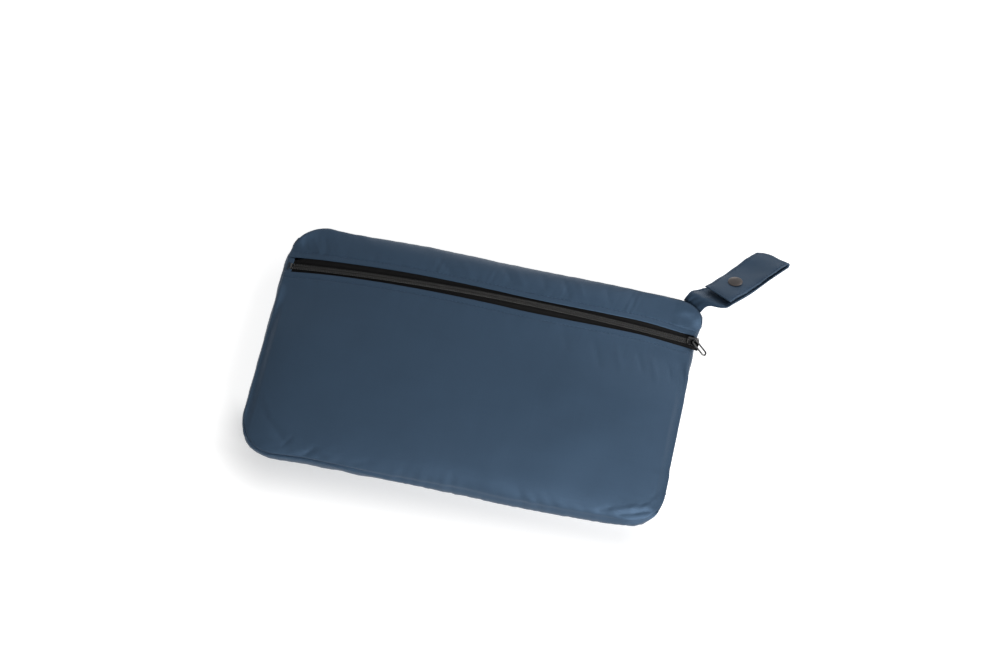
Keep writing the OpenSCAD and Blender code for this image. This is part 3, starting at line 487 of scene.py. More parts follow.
def close_ends(obj):
    """Fills the open rings of a tube with one round face each."""
    work = bmesh.new()
    work.from_mesh(obj.data)
    bmesh.ops.holes_fill(work, edges=[e for e in work.edges if e.is_boundary], sides=0)
    bmesh.ops.recalc_face_normals(work, faces=work.faces)
    work.to_mesh(obj.data)
    work.free()


def joined(name, parts):
    """Joins several new objects into one piece."""
    bpy.ops.object.select_all(action="DESELECT")
    for part in parts:
        part.select_set(True)
    bpy.context.view_layer.objects.active = parts[0]
    bpy.ops.object.join()
    parts[0].name = parts[0].data.name = name
    return parts[0]


def stands_for(piece, node, body="pouch"):
    """The piece moves with a body of the model and hides a node of it."""
    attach(piece, body)
    if node:
        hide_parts(node)


print("grid, shell and loft are ready")

# %% [markdown]
# ## The pouch's plan
# The pouch is a long pillow with rounded corners: a back, a side wall called a gusset, a
# lower front panel and a narrower band above the zipper. All of them meet along one rounded
# outline that leans a little, so the outline is worked out once, as points with the
# direction that leads out of the pouch, and every panel takes its edge from it.

# %% The outline
WIDTH, HEIGHT, LEAN = 300.0, 169.0, 5.6
HALF_W, HALF_H, SHEAR = WIDTH / 2, HEIGHT / 2, LEAN / HEIGHT
CORNERS = {"top_right": 19.0, "top_left": 33.0, "bottom_left": 30.0, "bottom_right": 25.0}
SEAM_INSET, ZIP_END_INSET, TUCK, BACK_INSET = 2.2, 0.4, 5.0, 17.0
BACK_SEAM_Z, FRONT_SEAM_Z = 5.6, 28.0
SEAM_W, SEAM_H = HALF_W - SEAM_INSET, HALF_H - SEAM_INSET


def clamp(t):
    return np.clip(t, 0.0, 1.0)


def smooth(t):
    t = clamp(t)
    return t * t * (3 - 2 * t)


def mix(a, b, t):
    return a + (b - a) * t


def hill(value, place, spread):
    """A bell: 1 at its place, and close to 0 twice its spread away."""
    return np.exp(-((value - place) / spread) ** 2)


def outline(corner_steps=22, step=2.4):
    """Points round the pouch as x, y, and the outward direction, counter-clockwise from the right."""
    arcs = []
    for quarter, (radius, right, up) in enumerate(zip(CORNERS.values(), (1, -1, -1, 1), (1, 1, -1, -1))):
        x, y = right * (HALF_W - radius), up * (HALF_H - radius)
        turn = np.radians(90 * quarter + 90 * np.arange(corner_steps + 1) / corner_steps)
        arcs.append(np.stack([x + radius * np.cos(turn), y + radius * np.sin(turn),
                              np.cos(turn), np.sin(turn)], axis=1))
    rows = []
    for arc, following in zip(arcs, arcs[1:] + arcs[:1]):
        rows.append(arc)
        a, b = arc[-1], following[0]
        n = max(2, int(np.hypot(*(b - a)[:2]) / step))
        t = (np.arange(1, n) / n)[:, None]
        rows.append(np.concatenate([mix(a[:2], b[:2], t), np.repeat(a[None, 2:], n - 1, axis=0)], axis=1))
    return np.concatenate(rows)


plan = outline()
plan_s = lengths_along(plan[:, :2])
print("outline:", len(plan), "points,", round(plan_s[-1]), "mm round")

# %% [markdown]
# ## The line of the zipper
# The zipper arches over the pouch's crown and drops to the seam at each end, so it lies on
# a large circle whose middle is far below the table. A place on it is given by how far along,
# how far across, and how high above the tapes it is.

# %% The zipper's arc
ZIP_Y, ZIP_TOP, ZIP_DROP, ZIP_TILT = 52.0, 44.0, 22.0, math.radians(6)
ZIP_R = (HALF_W ** 2 + ZIP_DROP ** 2) / (2 * ZIP_DROP)
ZIP_X, ZIP_AXIS_Z = SHEAR * ZIP_Y, ZIP_TOP - ZIP_R
TAPE_T, CLOTH_GAP, CLOTH_T = 0.6, 0.2, 1.2
FACE_RISE = TAPE_T / 2 + CLOTH_GAP + CLOTH_T / 2
WINDOW_HALF, TAPE_HALF = 5.6, 11.0


def tape_z(x, across, up):
    r = ZIP_R + up * math.cos(ZIP_TILT) - across * math.sin(ZIP_TILT)
    return ZIP_AXIS_Z + np.sqrt(np.maximum(r * r - x * x, 1))


def tape_y(across, up):
    return ZIP_Y + across * math.cos(ZIP_TILT) + up * math.sin(ZIP_TILT)


def on_tapes_z(x, y):
    """Height of the cloth's middle where it lies on the tapes."""
    return tape_z(x, (y - ZIP_Y - FACE_RISE * math.sin(ZIP_TILT)) / math.cos(ZIP_TILT), FACE_RISE)


def zip_point(along, across, up):
    """A point by its place on the zipper; along is measured on the chord, as x."""
    turn = np.arcsin(np.asarray(along, float) / ZIP_R)
    r = ZIP_R + up * math.cos(ZIP_TILT) - across * math.sin(ZIP_TILT)
    return np.stack(np.broadcast_arrays(ZIP_X + r * np.sin(turn), tape_y(across, up),
                                        ZIP_AXIS_Z + r * np.cos(turn)), axis=-1)


LOWER_FOLD_Y, LOWER_TAPE_Y = tape_y(-WINDOW_HALF, FACE_RISE), tape_y(-TAPE_HALF, FACE_RISE)
UPPER_FOLD_Y, UPPER_TAPE_Y = tape_y(WINDOW_HALF, FACE_RISE), tape_y(TAPE_HALF, FACE_RISE)
print("zipper's arc has a radius of", round(ZIP_R), "mm; its top is at", ZIP_TOP, "mm")

# %% [markdown]
# ## Folds in the cloth
# Cloth that is packed tight is smooth in the middle and gathers where it is sewn. Each
# larger fold is one soft groove or ridge along a short line, with its ends fading out, and
# the small gathers are ripples that die away from the seam. They are moved in the mesh and
# not only shaded, so that they show in the outline too. A stuffed pouch isn't quite as it
# was cut either: `drift` shifts its sides by tables of places and millimetres, and lets the
# right side flare towards its top, where the panel leans out over the wall.

# %% Seams, folds and gathers
def near_zip(y, flat, fade):
    return 1 - smooth((np.abs(y - ZIP_Y) - flat) / fade)


def at_zip_end(y):
    return near_zip(y, TAPE_HALF + 0.5, 14)


def seam_inset(y, side):
    return mix(SEAM_INSET, ZIP_END_INSET, at_zip_end(y) * side)


def rim_z(x, y, side):
    return mix(FRONT_SEAM_Z, on_tapes_z(x, y), at_zip_end(y) * side)


def ripple(s, length, seed):
    """A smooth wave from -1 to 1 with no regular beat, about one crest to each length."""
    random = np.random.RandomState(seed)
    total = 0
    for k in range(5):
        total = total + np.sin(s * 2 * np.pi / (length * random.uniform(0.6, 1.7)) + random.uniform(0, 6.3))
    return total / 3.2


def fold(x, y, start, end, half_width, height):
    """Height of one soft fold: positive for a ridge and negative for a groove."""
    start, end = np.array(start, float), np.array(end, float)
    line = end - start
    length = np.hypot(*line)
    t = ((x - start[0]) * line[0] + (y - start[1]) * line[1]) / length ** 2
    across = ((x - start[0]) * line[1] - (y - start[1]) * line[0]) / length
    taper = smooth(t / 0.3 + 0.35) * smooth((1 - t) / 0.3 + 0.35)
    return height * hill(across, 0, half_width) * taper


def eased(value, places, amounts, spread):
    """Goes smoothly through amounts that are given at places."""
    weight = [hill(value, place, spread) + 1e-9 for place in places]
    return sum(w * amount for w, amount in zip(weight, amounts)) / sum(weight)


RIGHT_AT = (-80, -60, -30, 0, 20, 40, 50, 56, 62, 70, 77, 88)
RIGHT_BY = (1.6, 0.9, 0.2, 0.1, -0.2, -0.6, -1.6, -2.2, 0.2, 2.0, 4.6, 3.0)
LEFT_AT = (-85, -70, -45, -15, 10, 30, 48, 62, 78)
LEFT_BY = (-0.9, 0.2, 1.0, 1.0, 1.0, 1.0, 1.4, 0.2, -0.8)
TOP_AT = (-150, -130, -105, -80, -50, -20, 10, 40, 70, 100, 122, 140)
TOP_BY = (4.4, 3.0, 0.6, 0.7, 1.0, 0.2, -0.8, -1.1, -1.0, -1.1, -1.3, -3.4)
BOTTOM_AT = (-148, -125, -100, -75, -50, -20, 10, 40, 70, 100, 126, 148)
BOTTOM_BY = (-4.2, -2.7, -1.1, -1.6, -1.6, -0.9, -0.5, -1.6, -1.5, -0.9, -0.3, -2.6)
FLARE_FOOT, FLARE_TOP = -0.6, 1.7


def drift(points, top_share):
    """Small shifts of the outline; top_share is 0 at the table and 1 at the front seam."""
    x, y = points[..., 0], points[..., 1]
    right, left = smooth((x - 100) / 45), smooth((-x - 105) / 40)
    high, low = smooth((y - 50) / 30), smooth((-y - 50) / 30)
    shift_x = right * eased(y, RIGHT_AT, RIGHT_BY, 6.5) + left * eased(y, LEFT_AT, LEFT_BY, 11)
    shift_y = high * eased(x, TOP_AT, TOP_BY, 16) + low * eased(x, BOTTOM_AT, BOTTOM_BY, 16)
    flared = right * (1 - smooth((y - 22) / 16)) * smooth((y + 84) / 16)
    flare = flared * mix(FLARE_FOOT, FLARE_TOP, top_share ** 8)
    moved = points.copy()
    moved[..., 0] += shift_x * mix(0.45, 1.0, top_share) + flare
    moved[..., 1] += shift_y * mix(0.3, 1.0, top_share)
    return moved


groove_there = float(fold(0, 1.0, (-5, 0), (5, 0), 1.5, -1))
print("a groove 3 mm wide is", round(groove_there, 2), "deep 1 mm from its line")

# %% [markdown]
# ## The two front panels
# Both panels run from the seam to a hem beside the zipper, where the cloth is folded under
# and top-stitched. Each is a grid of columns across the pouch and rows down it. Its height
# follows the tapes near the zipper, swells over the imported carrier, and turns steeply down
# at the seam. Its first rows are its hem's, which lies on the zipper's tape.

# %% Heights of the face
ROW_STOP = tape_y(TAPE_HALF, FACE_RISE) + 1.5
CROWN_Z = float(tape_z(np.array(0.0), -TAPE_HALF, FACE_RISE))


def corner_loss(y, r):
    up = np.minimum(y, ROW_STOP) - (SEAM_H - r)
    return np.where(up <= 0, 0, r - np.sqrt(np.maximum(0, r * r - up * up)))


def corner_reach(x, r):
    d = x - (SEAM_W - r)
    return np.where(d <= 0, SEAM_H, SEAM_H - r + np.sqrt(np.maximum(0, r * r - d * d)))


def of_side(c, left, right):
    return np.where(c > 0, CORNERS[right], CORNERS[left]) - SEAM_INSET


def face_x(c, y):
    return c * (HALF_W - seam_inset(y, 1) - corner_loss(y, of_side(c, "top_left", "top_right")))


def off_edge(c):
    return smooth((1 - np.abs(c)) / 0.05)


def plump(c):
    """How full the pouch is along its width: its left end is packed less tight."""
    return np.where(c < 0, (1 - np.abs(c) ** 2.1) ** 0.62, (1 - np.abs(c) ** 2.8) ** 0.60)


def lower_face_z(c, y, reach):
    x = face_x(c, y) + SHEAR * (y - ZIP_Y)
    d = np.maximum(0, LOWER_TAPE_Y - y)
    s = clamp(d / (LOWER_TAPE_Y - reach))
    full = FRONT_SEAM_Z + (CROWN_Z - FRONT_SEAM_Z) * plump(c)
    base = mix(on_tapes_z(x, np.maximum(y, LOWER_TAPE_Y)), full, smooth(s / 0.4))
    rise = math.tan(ZIP_TILT) * d * (1 - s) ** 4 * (1 - c * c)
    inner = FRONT_SEAM_Z + (base - FRONT_SEAM_Z) * (1 - s ** 2.9) ** 0.55 + rise
    return mix(rim_z(x, y, 1), inner, off_edge(c))


def upper_face_z(c, y, reach):
    x = face_x(c, y) + SHEAR * (y - ZIP_Y)
    s = clamp((y - UPPER_TAPE_Y) / np.maximum(1, reach - UPPER_TAPE_Y))
    near = on_tapes_z(x, np.minimum(y, UPPER_TAPE_Y))
    fall = np.where(near > FRONT_SEAM_Z, (1 - s ** 2.2) ** 0.5, 1 - smooth(s))
    inner = FRONT_SEAM_Z + (near - FRONT_SEAM_Z) * fall
    return mix(rim_z(x, y, 1), inner, off_edge(c))


def crowded(low, high, count, share):
    """Places from low to high that stand closer together towards 1, and towards -1."""
    even = np.linspace(low, high, count)
    return share * np.sin(np.pi / 2 * even) + (1 - share) * even


COLUMNS, LOWER_ROWS, UPPER_ROWS, HEM_ROWS = 300, 84, 34, 12
columns = crowded(-1, 1, COLUMNS + 1, 0.88)
HEM_AT = (-150, -130, -112, -80, -50, -25, 0, 30, 60, 85, 115, 140)
HEM_BY = (0.6, 1.4, 1.7, 1.4, 0.9, 0.2, -0.6, -1.5, -1.1, 0.1, 1.2, 0.3)


def face_grid(rows_share, fold_y, tape_edge_y, reach, height):
    """One panel from its hem (first) to the seam (last). The hems run where HEM_BY says."""
    c = columns[:, None]
    hem = np.linspace(fold_y, tape_edge_y, HEM_ROWS, endpoint=False)[None, :] + 0 * c
    field = mix(tape_edge_y, reach[:, None], rows_share[None, :])
    y = np.concatenate([hem, field], axis=1)
    y = y + eased(c * HALF_W, HEM_AT, HEM_BY, 20) * hill(y, fold_y, 15)
    x = face_x(c, y) + SHEAR * y
    z = height(c, y, reach[:, None])
    return np.stack([x, y, z], axis=-1)


lower_reach = -corner_reach(np.abs(columns) * SEAM_W, of_side(columns, "bottom_left", "bottom_right"))
top_r = of_side(columns, "top_left", "top_right")
upper_reach = corner_reach(np.abs(columns) * (SEAM_W - corner_loss(ROW_STOP, top_r)), top_r)
lower_base = face_grid(crowded(0, 1, LOWER_ROWS, 0.75), LOWER_FOLD_Y, LOWER_TAPE_Y, lower_reach, lower_face_z)
upper_base = face_grid(crowded(0, 1, UPPER_ROWS, 0.85), UPPER_FOLD_Y, UPPER_TAPE_Y, upper_reach, upper_face_z)
print("lower panel grid", lower_base.shape, "upper band grid", upper_base.shape)

# %% [markdown]
# ### Folds of the front panels
# The lists below give the larger folds as start, end, half width and height, all in mm.
# Corners crumple, because flat cloth has to turn round them, and the band and the panel have
# a few straight folds where the zipper, which doesn't stretch, holds them back. Between them
# the cloth puckers: fine creases stand across the hem, close together, and come and go.

# %% Fold lists
LOWER_FOLDS = [
    # bottom left corner: long creases that run with the corner, and short ones out of the seam
    ((-137, -56), (-112, -77), 2.6, -0.33), ((-126, -70), (-86, -80), 2.0, -0.33),
    ((-116, -68), (-80, -77), 3.0, 0.21), ((-104, -83), (-94, -74), 1.5, -0.27),
    ((-118, -77), (-111, -69), 1.4, -0.24), ((-86, -82), (-60, -78.5), 1.7, -0.21),
    ((-140, -44), (-128, -62), 2.2, 0.18), ((-70, -82), (-54, -75), 2.0, -0.15),
    # bottom right corner: a crumple of short folds
    ((112, -79), (128, -73), 1.7, 0.24), ((118, -80), (132, -76), 1.3, -0.27),
    ((124, -74), (135, -70), 1.5, 0.25), ((127, -77), (139, -72), 1.2, -0.3),
    ((133, -71), (141, -63), 1.4, 0.24), ((129, -72), (138, -66), 1.2, -0.23),
    ((137, -66), (143, -56), 1.4, -0.22), ((104, -80), (114, -76), 1.6, -0.15),
    ((140, -56), (136, -46), 1.6, 0.15),
    # folds that hang from the zipper
    ((80, 36), (88, 16), 2.4, -0.24), ((96, 35), (103, 18), 2.0, 0.22), ((112, 34), (117, 21), 1.8, -0.28),
    ((122, 33), (128, 15), 2.0, 0.25), ((134, 31), (137, 19), 1.7, -0.3), ((58, 37), (64, 23), 2.8, -0.16),
    ((20, 38), (26, 27), 3.0, -0.14), ((-46, 38), (-42, 28), 3.0, -0.12), ((143, 27), (145, 9), 2.0, 0.3),
    # broad swells of what lies inside
    ((-120, -20), (110, -34), 26, 0.6), ((-96, 12), (-60, -50), 20, -0.4), ((60, 6), (128, -36), 22, 0.4),
    ((30, -60), (100, -62), 10, -0.25), ((-30, -70), (40, -74), 7, 0.3),
]
UPPER_FOLDS = [
    ((-136, 68), (-127, 60), 2.0, -0.28), ((-129, 72), (-122, 62), 1.8, 0.22),
    ((-122, 75), (-117, 63), 2.0, -0.25), ((-114, 76), (-110, 66), 2.2, 0.14),
    ((-38, 72), (-24, 62), 2.2, -0.36), ((-22, 75), (-12, 63), 2.0, 0.25), ((9, 76), (18, 63), 2.0, -0.4),
    ((17, 77), (25, 64), 1.8, 0.3), ((36, 77), (41, 64), 2.2, -0.28), ((51, 77), (58, 63), 2.0, -0.34),
    ((62, 78), (68, 64), 2.0, 0.28), ((82, 78), (86, 65), 2.4, -0.28), ((101, 78), (104, 65), 2.2, -0.22),
    ((-90, 76), (-60, 69), 4.0, 0.3), ((-60, 78), (-30, 74), 3.0, -0.25),
    # the right end, which dips to the slider
    ((132, 63.5), (156, 63.0), 4.2, 0.55), ((134, 71.0), (156, 71.0), 4.2, -0.5),
]
HEM_STITCH, HEM_GROOVE, SEAM_PINCH = 3.8, 0.30, 1.1
SEAM_GATHER, HEM_GATHER, SWELL = 0.30, 0.16, 0.22
PUCKER_PITCH, PUCKERS_END = 5.5, 116


def side_distance(points):
    """Distance of each point from the nearer of its row's two ends, in mm."""
    return np.minimum(np.linalg.norm(points - points[:1], axis=2), np.linalg.norm(points - points[-1:], axis=2))


def seam_distance(points):
    """Distance of each point from its panel's seam edge, in mm, along the columns."""
    gaps = np.linalg.norm(np.diff(points, axis=1), axis=2)
    back = np.cumsum(gaps[:, ::-1], axis=1)[:, ::-1]
    return np.minimum(np.concatenate([back, np.zeros((len(points), 1))], axis=1), side_distance(points))


def before_right_end(x):
    return 1 - smooth((x - PUCKERS_END) / 16)


def gathered(base, folds, seed, pucker, over=0.0, puckered_from=-20.0):
    """The panel with its folds, its gathers at the seam, and the groove of its hem stitching.
    over says where the cloth goes on past this edge, so that the folds go on too."""
    x, y = base[..., 0], base[..., 1]
    height = sum(fold(x, y, *each) for each in folds)
    from_seam, aside = seam_distance(base), side_distance(base)
    down = np.linalg.norm(np.diff(base, axis=1), axis=2)
    from_hem = np.concatenate([np.zeros((len(base), 1)), np.cumsum(down, axis=1)], axis=1)
    s = np.arctan2(y, x * 0.55) * 105
    gathers = ripple(s, 9, seed) * np.exp(-from_seam / 5) * mix(smooth(from_seam / 2), 1, over)
    height = height + SEAM_GATHER * gathers
    height = height + HEM_GATHER * ripple(x, 12, seed + 1) * hill(from_hem, 0, 9) * smooth(from_hem / 4)
    height = height + SWELL * ripple(x, 60, seed + 2) * ripple(y, 45, seed + 3)
    puckers = ripple(x - 0.25 * y, PUCKER_PITCH, seed + 4) * smooth(0.6 + ripple(x, 34, seed + 5))
    puckers = puckers * smooth((x - puckered_from) / 60) * before_right_end(x)
    height = height + pucker * puckers * hill(from_hem, 8, 11)
    height = height * mix(smooth(from_seam / 4), smooth(aside / 4), over) * smooth((from_hem - 1.0) / 4)
    height = height - HEM_GROOVE * hill(from_hem, HEM_STITCH, 0.7)
    pinched = np.maximum((1 - over) * hill(from_seam, 0, 1.3), hill(aside, 0, 1.3))
    moved = base + (height - SEAM_PINCH * pinched)[..., None] * outward(base)
    return drift(moved, 1.0), from_seam


def outward(points):
    normal = normals_of(points)
    return normal if normal[..., 2].mean() > 0 else -normal


OVERHANG_AT = (-148, -100, -75, -50, -20, 10, 60, 108, 128, 140, 148)
OVERHANG_BY = (1.0, 1.0, 1.6, 4.0, 8.0, 12.0, 13.0, 12.0, 8.0, 4.0, 2.0)
lower_drop = eased(columns * SEAM_W, OVERHANG_AT, OVERHANG_BY, 16) * mix(0.1, 1, off_edge(columns))
lower_over = smooth((lower_drop - 1.5) / 4)[:, None]
lower_top, _ = gathered(lower_base, LOWER_FOLDS, 3, 0.045, over=lower_over)
upper_top, upper_from_seam = gathered(upper_base, UPPER_FOLDS, 11, 0.17, over=0.4, puckered_from=-90.0)
print("folds:", len(LOWER_FOLDS), "on the lower panel,", len(UPPER_FOLDS), "on the band")

# %% [markdown]
# ### The cloth settles
# Packed cloth is pushed out from inside and finds small folds of its own. Blender's cloth
# does that: the grid's rim is held, the rest is blown up with no gravity, and it settles in
# 22 frames. The folds above already give the panels their form, so only a touch of this
# movement is added, `SETTLED_SHARE` of it and less than a cap.

# %% Cloth simulation
SETTLED_SHARE, LOOSELY = 0.03, 0.03


def doubled(values, count, axis):
    """A grid's values at each whole and half step along an axis, `count` of them."""
    at = np.minimum(np.arange(count) / 2, values.shape[axis] - 1)
    low, high = (np.take(values, whole.astype(int), axis) for whole in (np.floor(at), np.ceil(at)))
    return (low + high) / 2


def settled(name, rest, slack, most, frames=22):
    """How far each point of the grid `rest` moves when its cloth, cut a little large, is blown
    up from inside while its four edges are held and the contents hold the rest loosely."""
    coarse = rest[::2, ::2][:(rest.shape[0] + 1) // 2, :(rest.shape[1] + 1) // 2]
    n, m, _ = coarse.shape
    mesh = bpy.data.meshes.new(name)
    mesh.from_pydata((coarse.reshape(-1, 3) * MM).tolist(), [], grid_faces(n, m, False).tolist())
    obj = placed(name, mesh)
    held = obj.vertex_groups.new(name="held")
    i, j = np.divmod(np.arange(n * m), m)
    rim = np.minimum(np.minimum(i, n - 1 - i), np.minimum(j, m - 1 - j))
    for hold, chosen in ((1.0, rim == 0), (0.25, rim == 1), (LOOSELY, rim > 1)):
        held.add(np.nonzero(chosen)[0].tolist(), hold, "REPLACE")
    cloth = obj.modifiers.new("cloth", "CLOTH")
    for setting, value in (("vertex_group_mass", "held"), ("pin_stiffness", 0.6), ("mass", 0.15),
                           ("tension_stiffness", 12), ("compression_stiffness", 12), ("shear_stiffness", 4),
                           ("bending_stiffness", 0.05), ("shrink_min", -slack), ("use_pressure", True),
                           ("uniform_pressure_force", 1.0)):
        setattr(cloth.settings, setting, value)
    cloth.settings.effector_weights.gravity = 0
    cloth.point_cache.frame_end = frames
    for frame_number in range(1, frames + 1):
        bpy.context.scene.frame_set(frame_number)
    done = obj.evaluated_get(bpy.context.evaluated_depsgraph_get()).to_mesh()
    moved = np.array([v.co for v in done.vertices]).reshape(n, m, 3) / MM - coarse
    bpy.data.objects.remove(obj)
    bpy.context.scene.frame_set(1)
    full = doubled(doubled(moved, rest.shape[0], 0), rest.shape[1], 1)
    for _ in range(2):
        full[1:-1] = (full[:-2] + 2 * full[1:-1] + full[2:]) / 4
        full[:, 1:-1] = (full[:, :-2] + 2 * full[:, 1:-1] + full[:, 2:]) / 4
    out = outward(rest)
    size = (full * out).sum(axis=2, keepdims=True)
    hem_free = smooth((np.arange(rest.shape[1]) - 0.7 * HEM_ROWS) / HEM_ROWS)[None, :, None]
    added = SETTLED_SHARE * most * np.tanh(size / most) * out * hem_free
    print(name, "moved up to", round(float(size.max()), 2), "mm, of which up to",
          round(float(np.abs(added).max()), 3), "mm is added")
    return added


lower_top += settled("lower_cloth", lower_top, 0.022, 1.3)
upper_top += settled("upper_cloth", upper_top, 0.03, 1.1) * before_right_end(upper_base[..., :1])
print("the panels have settled")

# %% [markdown]
# ### Sewing the panels
# A panel's free edge at the zipper is a hem: the cloth is folded under and comes back a few
# millimetres below itself. The grid gets five more rows for that, and then its thickness.
# Along the front the lower panel doesn't end at the seam line. It is fuller than the wall
# under it, so it rolls on over the seam and hangs down over the wall, most in the middle
# of its right half and not at all at the left. Twelve more rows do that, `overhung`.

# %% Front panels
SHEET_T, HEM_DEPTH, OVERHANG_ROWS = 0.5, 4.2, 12
WALL_TOP_GAP = 0.8


def wall_inset(t, at_top=SEAM_INSET):
    """How far the side wall stands inside the outline, from its foot, 0, to its top, 1."""
    return TUCK * (2 * t - 1) * (t - 1) + at_top * t * (2 * t - 1)


def up_the_wall(z):
    return (z - BACK_SEAM_Z) / (FRONT_SEAM_Z - WALL_TOP_GAP - BACK_SEAM_Z)


def near_top(z):
    return smooth((z - 12) / 14)


def overhung(base, moved):
    """The lower panel goes on past the seam line, down over the wall, where it hangs over."""
    rim = base[:, -1]
    radius = of_side(columns, "bottom_left", "bottom_right")
    lean = rim - [1, 0, 0] * (SHEAR * rim[:, 1:2])
    middle_x = np.sign(columns) * np.minimum(np.abs(lean[:, 0]), SEAM_W - radius)
    middle = np.stack([middle_x, radius - SEAM_H], axis=1)
    out = unit(lean[:, :2] - middle)
    drop = lower_drop + 0.35 * ripple(columns * SEAM_W, 11, 61)
    share = np.arange(1, OVERHANG_ROWS + 1)[None, :] / OVERHANG_ROWS
    z = rim[:, 2:] - drop[:, None] * share
    past = SEAM_INSET - wall_inset(up_the_wall(z)) + 0.25
    past = past + 0.75 * np.sin(np.pi * np.minimum(share * 1.1, 1.0))
    past = past - 0.9 * smooth((columns - 0.85) / 0.12)[:, None] * share
    past = past - 0.7 * smooth((share - 0.8) / 0.2) + 0.25 * ripple(columns * SEAM_W, 8, 62)[:, None] * share
    rows = np.stack([rim[:, :1] + out[:, :1] * past, rim[:, 1:2] + out[:, 1:] * past, z], axis=-1)
    fading = (1 - smooth(share * 1.6))[..., None]
    rows = drift(rows, near_top(z)) + (moved[:, -1:] - drift(base[:, -1:], 1.0)) * fading
    return np.concatenate([moved, rows], axis=1)


def hemmed(middle):
    """The outer face of a panel, from the hidden end of its hem, round the fold, to the seam."""
    normal = outward(middle)
    edge, n = middle[:, 0], normal[:, 0]
    toward = unit(middle[:, 0] - middle[:, 2])
    rows = [edge + out * toward + up * n for out, up in
            ((-HEM_DEPTH, -0.42), (-1.2, -0.42), (0.12, -0.36), (0.42, 0.02), (0.26, 0.36))]
    return np.concatenate([np.stack(rows, axis=1), middle + SHEET_T * normal], axis=1)


def panel(name, top, from_seam, node, flip):
    """A front panel with its hem, rubbed along its seam, and the outer face that it has."""
    face = hemmed(top)
    worn = np.exp(-from_seam / 2.2)
    piece = shell(name, face, SHEET_T, pouch_cloth, flip=flip,
                  worn=np.concatenate([np.repeat(worn[:, :1], 5, axis=1), worn], axis=1))
    stands_for(piece, node)
    return piece, face


lower_top = overhung(lower_base, lower_top)
lower_panel, lower_face = panel("lower_panel", lower_top, seam_distance(lower_top), "front_panel", True)
upper_band, upper_face = panel("upper_band", upper_top, upper_from_seam, "top_band", False)
print("front panels:", len(lower_panel.data.vertices) + len(upper_band.data.vertices), "points")

# %% [markdown]
# ### The side wall
# The gusset stands between the front and back seams. It is tucked in at the table, bulges
# half way up, and comes in again to the front seam. Under the zipper's ends it is cut lower,
# to leave the tapes and the slider their room. It buckles a little, since it is not stretched.
# Past its top it turns inward and lies over the panel's edge, as a seam's turning does. At
# the left end it goes on for 5.4 mm over the ends of the zipper's tapes, and hides them.

# %% Side wall
WALL_ROWS, END_COVER, TOP_COVER = 22, 5.4, 1.6
side = smooth((np.abs(plan[:, 2]) - 0.7) / 0.25)
wall_t = np.linspace(0, 1, WALL_ROWS)[None, :]
rim = seam_inset(plan[:, 1], side)[:, None]
seam_height = rim_z(HALF_W - ZIP_END_INSET, plan[:, 1], side)
right_end = (plan[:, 2] > 0) * side * near_zip(plan[:, 1], 4.6, 4)
left_end = (plan[:, 2] < 0) * side * near_zip(plan[:, 1], 8.0, 3.0)
wall_top = seam_height - WALL_TOP_GAP - side * near_zip(plan[:, 1], 11.5, 6) - right_end * 2.6 + left_end * 1.6
left_end = left_end[:, None]
wall_in = wall_inset(wall_t, rim) + 0.9 * wall_t ** 12
wall_z = mix(BACK_SEAM_Z, wall_top[:, None], wall_t)
wall_s = plan_s[:, None]
buckle = 4 * wall_t * (1 - wall_t)
long_waves, short_waves = ripple(wall_s + 14 * wall_t, 30, 21), ripple(wall_s - 9 * wall_t, 9, 22)
wall_in = wall_in - buckle * (0.30 * long_waves + 0.10 * short_waves)
turning = smooth((np.abs(plan[:, 2] * plan[:, 3]) - 0.2) / 0.3)[:, None]
wall_in = wall_in - turning * buckle * 0.16 * np.sin(wall_s * 1.15 + 4 * wall_t)
for share, up in ((0.12, 0.25), (0.3, 0.3), (0.55, 0.25), (0.8, 0.15), (0.95, 0.05), (1.0, -0.15)):
    inward = share * mix(TOP_COVER, END_COVER, left_end)
    end_x = ZIP_END_INSET + inward - HALF_W + SHEAR * (plan[:, 1:2] - ZIP_Y)
    on_end = on_tapes_z(end_x, plan[:, 1:2]) + 0.12 + up
    wall_in = np.concatenate([wall_in, wall_in[:, WALL_ROWS - 1:WALL_ROWS] + inward], axis=1)
    wall_z = np.concatenate([wall_z, mix(wall_top[:, None] + up, on_end, left_end)], axis=1)
for inward in (0.5, 1.6):
    wall_in = np.concatenate([wall_in[:, :1] + inward, wall_in], axis=1)
    wall_z = np.concatenate([wall_z[:, :1], wall_z], axis=1)
flat_x, flat_y = (plan[:, k:k + 1] - plan[:, k + 2:k + 3] * wall_in for k in (0, 1))
wall_face = drift(np.stack([flat_x + SHEAR * flat_y, flat_y, wall_z], axis=-1), near_top(wall_z))
wall_worn = np.exp(-np.abs(wall_z - seam_height[:, None]) / 1.6) + np.exp(-np.abs(wall_z - BACK_SEAM_Z) / 1.4)
side_wall = shell("side_wall", wall_face, SHEET_T, pouch_cloth, wrap=True, worn=wall_worn)
stands_for(side_wall, "side_gusset")
print("side wall stands from", BACK_SEAM_Z, "to", round(float(wall_top.max()), 1), "mm")

# %% [markdown]
# ### The back
# The back lies flat on the table over most of its area and turns up to the back seam. It is
# made of rings: rings of the outline, scaled towards the middle, and then the turned-up rim.

# %% Back panel and the bound seams inside
def ring_at(inset, z):
    x, y = plan[:, 0] - plan[:, 2] * inset, plan[:, 1] - plan[:, 3] * inset
    z = np.broadcast_to(z, x.shape)
    return np.stack([x + SHEAR * y, y, z], axis=-1)


